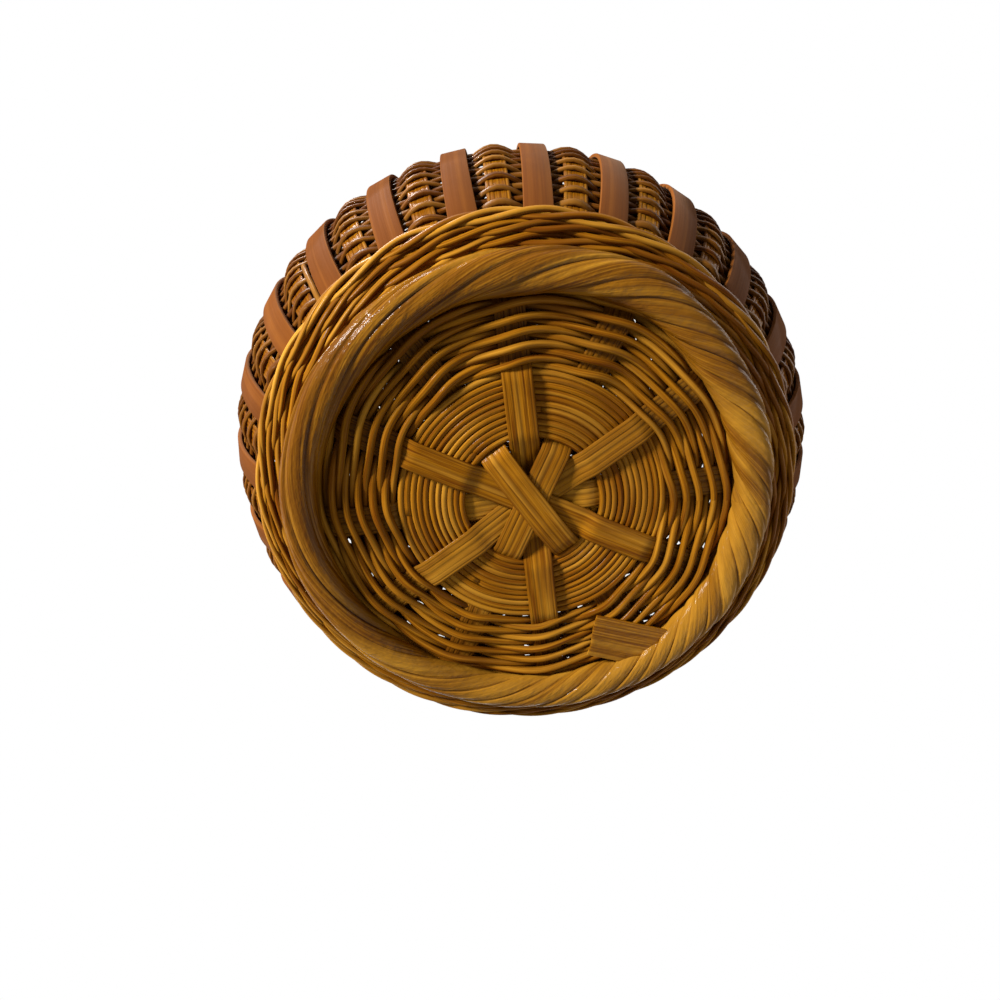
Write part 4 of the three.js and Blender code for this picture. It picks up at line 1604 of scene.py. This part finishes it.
@dataclass
class SewnCoil:
    """A coil of round cane, each turn sewn to the last with split peel."""

    name: str
    node: str
    place: np.ndarray               # 4 x 4, the coil's own +Z away from the head
    inner: float
    outer: float
    cane: float
    top: tuple                      # radii, and the heights of a turn's middle at them
    side_turns: Sequence[float]     # heights of the turns laid under the outermost
    seed: int
    stitch_gap: float = 7.5
    stitch_width: float = 1.35
    stitch_thickness: float = 0.45
    least_radius: float = 2.5       # nearer the middle there are no stitches
    stations: int = 64              # points in one turn

    @property
    def pitch(self) -> float:
        """Millimetres from one turn to the next."""
        return self.cane * 0.94

    @property
    def turns(self) -> float:
        """How often the cane goes round."""
        return (self.outer - self.inner) / self.pitch

    def height(self, radius: np.ndarray) -> np.ndarray:
        """Gives the height of a turn's middle at each radius."""
        return np.interp(radius, *self.top)

    def build(self) -> None:
        """Builds and dresses the coil and its stitches."""
        rng = np.random.default_rng(self.seed)
        self.build_cane(rng)
        self.build_stitches(rng)

    def build_cane(self, rng: np.random.Generator) -> None:
        """Builds the spiral of cane and the turns laid under its edge.

        Args:
            rng: The coil's own random numbers.
        """
        turns = self.turns
        # One turn climbs to the coil's edge before the spiral, and one dives under its inner end.
        turn = np.linspace(-TAU, (turns + 1) * TAU, int((turns + 2) * self.stations) + 1)
        radius = self.outer - self.pitch * np.clip(turn / TAU, 0, turns)
        sunk = self.cane * 0.85 * (np.clip(-turn / TAU, 0, 1) + np.clip(turn / TAU - turns, 0, 1))
        to_end = ((turns + 1) * TAU - turn) * radius
        thin = np.interp(to_end, [0, 7], [0.35, 1.0])
        height = self.height(radius) - sunk - (1 - thin) * self.cane * 0.4
        section = oval(self.cane, self.cane, 10, 2.0)
        rise = self.place[:3, 2]
        bundle = Bundle(self.name)
        bundle.add(placed(around(turn, radius, height), self.place), rise,
                   section * thin[:, None, None],
                   0.55 + wander(rng, turn, 0.15, (0.7, 1.9, 3.1)))
        for height in self.side_turns:
            ring = around(full_turn(72), self.outer - 0.2, height)
            bundle.add(placed(ring, self.place), rise, section, 0.5 + rng.normal(0, 0.1),
                       closed=True)
        dress(bundle.build(), Slot.GOLDEN_CANE, Body.LID, self.node)

    def build_stitches(self, rng: np.random.Generator) -> None:
        """Builds the stitches, each lap's set between those of the last.

        Args:
            rng: The coil's own random numbers.
        """
        section = oval(self.stitch_width, self.stitch_thickness, 6, 2.5)
        bundle = Bundle(f"{self.name}_stitches")
        for lap in range(int(self.turns)):
            outline = TAU * (self.outer - self.pitch * (lap + 0.5))
            count = max(3, int(outline / self.stitch_gap))
            for number in range(count):
                share = (number + 0.5 * (lap % 2)) / count
                middle = self.outer - self.pitch * (lap + 0.5 + share)
                if middle - self.pitch / 2 < max(self.inner, self.least_radius):
                    continue
                path, facing = self.stitch(middle, share * TAU + rng.uniform(-0.03, 0.03))
                bundle.add(path, facing, section, 0.7 + rng.normal(0, 0.15))
        dress(bundle.build(), Slot.ROPE_PEEL, Body.LID)

    def stitch(self, middle: float, at: float) -> tuple[np.ndarray, np.ndarray]:
        """Gives the path and facing of one stitch over two turns of the coil.

        Args:
            middle: Distance from the coil's axis to the line between the two turns.
            at: The stitch's place round the coil, in radians.

        Returns:
            The path and the facing, in the basket's frame.
        """
        s = np.linspace(-1, 1, 11)
        radius = middle + s * self.pitch * 0.93
        # It bends down at both ends and dips a little between the two turns.
        lift = self.cane / 2 + 0.12 - (np.abs(s) ** 5) * self.cane * 0.55
        lift = lift - 0.25 * np.exp(-(s / 0.22) ** 2)
        turn = at + s * 0.10 * self.pitch / middle
        path = around(turn, radius, self.height(radius) + lift)
        out = np.stack([np.cos(turn) * s ** 5, np.sin(turn) * s ** 5, 1.2 - np.abs(s) ** 5], -1)
        return placed(path, self.place), turned(unit(out), self.place)


class BeakStep(NamedTuple):
    """One step in drawing out the beak."""

    reach: float                    # out from the head, as a share of the beak's length
    size: float                     # of the oval there, as a share of the first one
    drop: float                     # of its middle, as a share of the beak's height


@dataclass
class Face:
    """Two coiled eyes with dark beads, a hooked beak and a coil on the crown."""

    over_ribs: float = 1.8          # mm over the dome of what lies on the ribs
    over_weave: float = 0.9         # and of the beak, which stands on the weave
    eye_azimuth: float = 20.0       # degrees to the side of the face's middle
    eye_lift: float = 31.0          # degrees up the dome
    eye_radius: float = 19.0
    eye_cane: float = 2.6
    eye_top: tuple = ((6.5, 8.8, 16.5, 19.0), (0.9, 1.9, 2.9, 1.9))     # radii and heights
    bead_radius: float = 6.2
    bead_depth: float = 5.6
    bead_sunk: float = 0.62         # share of the depth behind its middle that is kept
    beak_lift: float = 13.0
    beak_length: float = 12.0
    beak_width: float = 9.0
    beak_height: float = 15.0
    beak_root: float = -0.25        # where its oval starts, inside the head
    beak_steps: tuple = (
        BeakStep(-0.18, 1.0, 0.0), BeakStep(0.1, 1.0, 0.0), BeakStep(0.35, 0.90, 0.04),
        BeakStep(0.6, 0.72, 0.12), BeakStep(0.8, 0.52, 0.25), BeakStep(0.94, 0.32, 0.38),
        BeakStep(1.0, 0.16, 0.44),
    )
    crown_radius: float = 16.5
    crown_inner: float = 1.3
    crown_cane: float = 2.9
    crown_middles: tuple = ((0, 6, 11, 15.2), (3.4, 3.2, 2.6, 1.6))     # radii and heights

    @staticmethod
    def settle_on(piece: bpy.types.Object, place: np.ndarray) -> None:
        """Moves a piece modelled at the origin to its place on the head.

        Args:
            piece: The piece, in metres.
            place: The place's frame, in millimetres.
        """
        matrix = Matrix([list(row) for row in place])
        matrix.translation = matrix.translation * MM
        piece.data.transform(matrix)

    def build_eye(self, side: str, direction: int) -> None:
        """Builds one eye's coil and bead.

        Args:
            side: The owl's left or right.
            direction: 1 for the left eye and -1 for the right one.
        """
        place = on_head(direction * self.eye_azimuth, self.eye_lift, self.over_ribs)
        cane = self.eye_cane
        radii, tops = self.eye_top
        middles = tuple(top - cane / 2 + 0.1 for top in tops)
        SewnCoil(f"{side}_eye_sewn_coil", f"{side}_eye_coil", place,
                 inner=self.bead_radius + 0.4 + cane / 2, outer=self.eye_radius - cane / 2 - 0.1,
                 cane=cane, top=(radii, middles), side_turns=(-1.2, -3.2),
                 seed=91 + direction).build()
        bead = Bench.start(f"{side}_eye_glossy_bead", bpy.ops.mesh.primitive_uv_sphere_add,
                           segments=40, ring_count=22, radius=1.0)
        bead.scale = (self.bead_radius * MM, self.bead_radius * MM, self.bead_depth * MM)
        Bench.settle(bead)
        with Bench.editing(bead):
            cut = -self.bead_sunk * self.bead_depth * MM
            bpy.ops.mesh.bisect(plane_co=(0, 0, cut), plane_no=(0, 0, 1), clear_inner=True,
                                use_fill=True)
        Bench.soften(bead, 0.4, 35.0)
        Bench.map_strip(bead, lambda p: (p.x, p.y))
        self.settle_on(bead, place)
        Bench.shade(bead)
        dress(bead, Slot.DARK_BEAD, Body.LID, f"{side}_eye_bead")

    def build_beak(self) -> None:
        """Models the beak: an oval, drawn out in steps, narrowed and hooked down, then rounded."""
        width, height, length = self.beak_width, self.beak_height, self.beak_length
        beak = Bench.start("beak_carved", bpy.ops.mesh.primitive_circle_add, vertices=16,
                           radius=0.5, fill_type="NGON")
        beak.scale = (width * MM, height * MM, 1.0)
        beak.location = (0, 0, self.beak_root * length * MM)
        Bench.settle(beak)
        with Bench.editing(beak):
            last = BeakStep(self.beak_root, 1.0, 0.0)
            for step in self.beak_steps:
                move = (0, -(step.drop - last.drop) * height * MM,
                        (step.reach - last.reach) * length * MM)
                bpy.ops.mesh.extrude_region_move(TRANSFORM_OT_translate={"value": move})
                middle = (0, -step.drop * height * MM, step.reach * length * MM)
                bpy.ops.transform.resize(value=(step.size / last.size,) * 3,
                                         center_override=middle)
                last = step
            Bench.turn_outwards()
        Bench.modifier(beak, "SUBSURF", levels=2, render_levels=2)
        Bench.map_strip(beak, lambda p: (p.z, p.x))
        self.settle_on(beak, on_head(0.0, self.beak_lift, self.over_weave))
        Bench.hold(beak)
        bpy.ops.object.shade_smooth()
        dress(beak, Slot.BEAK_WOOD, Body.LID, "beak")

    def build_crown(self) -> None:
        """Builds the coil that closes the dome over the ribs' ends."""
        place = np.eye(4)
        place[2, 3] = HEAD.centre + HEAD.height
        SewnCoil("crown_sewn_coil", "crown_coil", place, inner=self.crown_inner,
                 outer=self.crown_radius - self.crown_cane / 2, cane=self.crown_cane,
                 top=self.crown_middles, side_turns=(-0.6,), seed=97).build()

    def build(self) -> None:
        """Builds and dresses the face and the crown."""
        self.build_eye("left", 1)
        self.build_eye("right", -1)
        self.build_beak()
        self.build_crown()


@dataclass
class EarTuft:
    """A flat woven cone that stands up from the head and comes to a leaning tip."""

    side: str
    direction: int                  # 1 for the left ear and -1 for the right one
    azimuth: float = 60.0           # degrees to the side of the face's middle
    lift: float = 46.0              # degrees up the dome
    over_ribs: float = 1.8          # mm over the dome of the ear's own origin
    growth: float = 1.5             # of the surface that its foot stands on
    width: float = 32.0
    depth: float = 10.0
    height: float = 25.0
    # The outline at shares of the height: width, depth and lean, as shares of width and depth.
    levels: tuple = (-1, 0, 0.5, 0.8, 1)
    widths: tuple = (1, 1, 0.70, 0.40, 0.12)
    depths: tuple = (1, 1, 0.80, 0.60, 0.30)
    leans: tuple = (0, 0, 0.06, 0.13, 0.20)
    stakes: int = 18
    stake: tuple = (1.7, 0.7)       # width and thickness
    stations: int = 26              # points up a stake
    pitch: float = 2.3              # from one row to the next
    strand: float = 1.9

    @property
    def place(self) -> np.ndarray:
        """The ear's own frame on the head, +Z along the ear and +X across the face."""
        azimuth = self.direction * self.azimuth
        return on_head(azimuth, self.lift, self.over_ribs, -azimuth)

    def outline(self, z: np.ndarray, turn: np.ndarray, inset: Numbers) -> np.ndarray:
        """Gives points of the cone's outline in the ear's own frame.

        Args:
            z: Their heights.
            turn: Their angles round the ear, in radians.
            inset: How far they lie inside the outline.

        Returns:
            One point for each angle.
        """
        share = z / self.height
        wide = self.width / 2 * np.interp(share, self.levels, self.widths)
        deep = self.depth / 2 * np.interp(share, self.levels, self.depths)
        lean = -self.direction * self.width * np.interp(share, self.levels, self.leans)
        x = lean + np.maximum(wide - inset, 0.5) * np.cos(turn)
        y = np.maximum(deep - inset, 0.5) * np.sin(turn)
        return np.stack([x, y, z], -1)

    def outwards(self, points: np.ndarray) -> np.ndarray:
        """Gives the outward directions, in the basket's frame, at a row of the outline."""
        flat = (points - points.mean(0)) * np.array([self.depth / self.width, 1.0, 0.0])
        return turned(unit(flat + np.array([0, 0, 1e-3])), self.place)

    def foot(self, turn: np.ndarray) -> np.ndarray:
        """Finds the height at which each side of the cone meets the head.

        Args:
            turn: Angles round the ear, in radians.

        Returns:
            One height for each angle, in the ear's own frame.
        """
        heights = np.linspace(-self.height / 2, self.height * 0.6, 160)
        found = np.full(turn.shape, heights[-1])
        for z in heights[::-1]:
            points = placed(self.outline(np.full(turn.shape, z), turn, 0.0), self.place)
            out = np.hypot(points[:, 0], points[:, 1]) / (HEAD.radius + self.growth)
            up = (points[:, 2] - HEAD.centre) / (HEAD.height + self.growth)
            found = np.where(np.hypot(out, up) > 1, z, found)
        return found

    def build(self) -> None:
        """Builds and dresses the ear: rows of weavers and the stakes over them, to the tip."""
        rng = np.random.default_rng(101 + self.direction)
        turn = full_turn(self.stakes * 8)
        foot = self.foot(turn) + self.strand / 2
        top = self.height - 1.0
        inset = self.strand / 2 + 0.3
        rows = int((top - foot.min()) / self.pitch)
        weaver = oval(self.strand * 1.1, self.strand * 0.62, 8)
        bundle = Bundle(f"{self.side}_ear_weave")
        for row in range(rows):
            share = row / (rows - 1)
            swing = (0.45 - 0.3 * share) * np.cos(self.stakes / 2 * turn + math.pi * row)
            points = self.outline(foot + (top - foot) * share, turn, inset - swing)
            bundle.add(placed(points, self.place), self.outwards(points), weaver,
                       0.5 + rng.normal(0, 0.18), closed=True)
        stake = oval(*self.stake, 6, 3)
        for at in full_turn(self.stakes):
            z = np.linspace(np.interp(at, turn, foot), self.height + 0.6, self.stations)
            points = self.outline(z, np.full(self.stations, at), inset)
            out = np.array([math.cos(at) * self.depth / self.width, math.sin(at), 0.02])
            bundle.add(placed(points, self.place), turned(unit(out), self.place), stake,
                       0.6 + rng.normal(0, 0.1))
        dress(bundle.build(), Slot.GOLDEN_CANE, Body.LID, f"{self.side}_ear_tuft")


# The view


@dataclass(frozen=True)
class PhotoView:
    """The camera below the basket, where the photograph was taken from."""

    focal: float = 759.2            # pixels
    image: float = 1000.0
    centre: tuple[float, float] = (531.5, 503.4)
    distance: float = 204.0         # mm from the middle of the rope's ring
    target: float = 5.0             # that middle's height
    tilt: float = 21.92
    roll: float = -7.97
    sensor: float = 36.0            # mm, Blender's usual width
    nearest: float = 0.005          # metres
    farthest: float = 10.0

    def axes(self) -> tuple[Vector, Vector, Vector]:
        """Works out which way the camera is held.

        Returns:
            Its right, up and forward directions in the basket's frame.
        """
        tilt, roll = math.radians(self.tilt), math.radians(self.roll)
        # The basket's own axes as the camera sees them, in right, up and forward parts.
        z = Vector((math.sin(tilt) * math.sin(roll), math.sin(tilt) * math.cos(roll),
                    math.cos(tilt)))
        x = (Vector((1, 0, 0)) - z.x * z).normalized()
        y = x.cross(z)
        right, up, forward = (Vector((x[part], y[part], z[part])) for part in range(3))
        return right, up, forward

    def build(self) -> None:
        """Makes the camera and gives it to the scene."""
        right, up, forward = self.axes()
        data = bpy.data.cameras.new("photo_camera")
        data.sensor_width = self.sensor
        data.lens = self.focal / self.image * self.sensor
        data.shift_x = (self.image / 2 - self.centre[0]) / self.image
        data.shift_y = (self.centre[1] - self.image / 2) / self.image
        data.clip_start, data.clip_end = self.nearest, self.farthest
        camera = bpy.data.objects.new("photo_camera", data)
        place = Vector((0, 0, self.target * MM)) - forward * self.distance * MM
        turn = Matrix((right, up, -forward)).transposed()
        camera.matrix_world = Matrix.Translation(place) @ turn.to_4x4()
        bpy.context.scene.collection.objects.link(camera)
        bpy.context.scene.camera = camera


@dataclass
class Studio:
    """A pale floor, a white surround and soft lamps above and below the floor."""

    surround: float = 0.138         # how strongly the surround lights the basket
    middle: float = 0.05            # metres over the ground that the lamps look at
    floor_size: float = 40.0        # metres
    floor_colour: Colour = (0.8, 0.79, 0.77)
    floor_roughness: float = 0.9

    def place(self, name: str, kind: str, direction: Vector,
              distance: float) -> bpy.types.Light:
        """Adds a lamp that looks at the basket's middle.

        Args:
            name: The lamp's name.
            kind: Blender's name for the kind of lamp.
            direction: From the basket to the lamp.
            distance: Metres to the lamp.

        Returns:
            The lamp's data.
        """
        data = bpy.data.lights.new(name, kind)
        lamp = bpy.data.objects.new(name, data)
        way = direction.normalized()
        lamp.location = Vector((0, 0, self.middle)) + way * distance
        lamp.rotation_mode = "QUATERNION"
        lamp.rotation_quaternion = (-way).to_track_quat("-Z", "Y")
        lamp.visible_camera = False
        bpy.context.scene.collection.objects.link(lamp)
        return data

    def soft_box(self, name: str, direction: Vector, distance: float, size: float,
                 power: float) -> None:
        """Adds a square lamp, metres across and watts strong."""
        data = self.place(name, "AREA", direction, distance)
        data.shape, data.size, data.energy = "SQUARE", size, power

    def daylight(self, name: str, direction: Vector, spread: float, strength: float) -> None:
        """Adds an even light from far away, as wide as so many degrees of the sky."""
        data = self.place(name, "SUN", direction, 2.0)
        data.angle, data.energy = math.radians(spread), strength

    def build_world(self) -> None:
        """Makes the surround: white where it is seen, and an even grey light elsewhere."""
        world = bpy.data.worlds.new("white_surround")
        bpy.context.scene.world = world
        world.use_nodes = True
        nodes, links = world.node_tree.nodes, world.node_tree.links
        background = nodes["Background"]
        background.inputs["Color"].default_value = (1, 1, 1, 1)
        rays = nodes.new("ShaderNodeLightPath")
        seen = rays.outputs["Is Camera Ray"]
        for kind in ("Is Glossy Ray", "Is Transmission Ray"):
            either = nodes.new("ShaderNodeMath")
            either.operation = "MAXIMUM"
            links.new(seen, either.inputs[0])
            links.new(rays.outputs[kind], either.inputs[1])
            seen = either.outputs[0]
        strength = nodes.new("ShaderNodeMapRange")
        links.new(seen, strength.inputs["Value"])
        strength.inputs["To Min"].default_value = self.surround
        strength.inputs["To Max"].default_value = 1.0
        links.new(strength.outputs[0], background.inputs["Strength"])

    def build_floor(self) -> None:
        """Models the floor, which shows from above and not from under it."""
        floor = Bench.start("pale_floor", bpy.ops.mesh.primitive_plane_add, size=self.floor_size)
        s = Sketch("pale_floor")
        s.fill(s.shader, {"Base Color": rgba(self.floor_colour),
                          "Roughness": self.floor_roughness})
        side = s.node("ShaderNodeNewGeometry")
        clear = s.node("ShaderNodeBsdfTransparent")
        choose = s.node("ShaderNodeMixShader")
        parts = (side.outputs["Backfacing"], s.shader.outputs[0], clear.outputs[0])
        for socket, part in zip(choose.inputs, parts):
            s.feed(socket, part)
        s.feed(s.tree.nodes["Material Output"].inputs["Surface"], choose.outputs[0])
        floor.data.materials.append(s.material)
        floor.visible_shadow = False
        floor.visible_diffuse = False
        floor.visible_glossy = False
        floor.visible_transmission = False

    def build(self, view: PhotoView) -> None:
        """Builds the floor, the surround and the lamps.

        Args:
            view: The camera, which the lamps below the floor stand beside.
        """
        self.build_world()
        self.build_floor()
        right, up, forward = view.axes()
        self.soft_box("key_below", -0.76 * right + 0.36 * up - 0.54 * forward, distance=1.20,
                      size=0.19, power=26.0)
        self.soft_box("fill_below", 0.50 * right - 0.60 * up - 0.62 * forward, distance=0.34,
                      size=0.22, power=0.16)
        self.daylight("key_above", Vector((-0.55, -0.75, 0.90)), spread=14.0, strength=2.6)
        self.daylight("fill_above", Vector((0.85, -0.25, 0.60)), spread=40.0, strength=0.8)
        self.daylight("back_above", Vector((-0.10, 0.80, 0.75)), spread=50.0, strength=0.9)


PARTS = (
    BaseStar(),
    FineBand(),
    Twining(),
    RopeTail(),
    WoundRope("foot_rope_peel", "foot_rope", Body.BASKET, ring_radius=60.0, height=5.0,
              across=5.3, upright=5.0, twist=Twist.S, uneven=0.7, tight_at=20.0, broad=0.06,
              broad_at=-60.0, bends=(Bend(-62.0, 2.0, 18.0), Bend(-195.0, 1.5, 34.0)),
              outer_painted_shade=0.22, tone=0.58, painted_light_lean=0.30, lit_at=52.0),
    Waling("lower_waling_strands", "lower_waling",
           groups=((47.4, -2.2), (49.0, -0.8), (50.7, 0.6), (52.5, 1.8)), painted_light_lean=0.24,
           lit_at=165.0),
    Wall(),
    Waling("upper_waling_strands", "upper_waling",
           groups=((125.4, 2.6), (127.3, 2.6), (129.2, 1.7)), side=1.1, seed=52),
    WoundRope("rim_rope_peel", "rim_rope", Body.BASKET, ring_radius=67.64, height=129.58,
              across=4.45, upright=4.45, turns=8, seed=42),
    WoundRope("lid_rope_peel", "lid_rope", Body.LID, ring_radius=67.64, height=138.68,
              across=4.25, upright=4.25, turns=8, twist=Twist.S, seed=43),
    SeatRing(),
    HeadDome(),
    Face(),
    EarTuft("left", 1),
    EarTuft("right", -1),
)


def main() -> None:
    """Builds the view and every part of the basket."""
    logging.basicConfig(level=logging.INFO, format="%(name)s: %(message)s")
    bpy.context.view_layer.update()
    bpy.context.scene.view_settings.view_transform = "Standard"
    view = PhotoView()
    view.build()
    Studio().build(view)
    for part in PARTS:
        LOG.info("building %s", type(part).__name__)
        part.build()


if __name__ == "__main__":
    main()
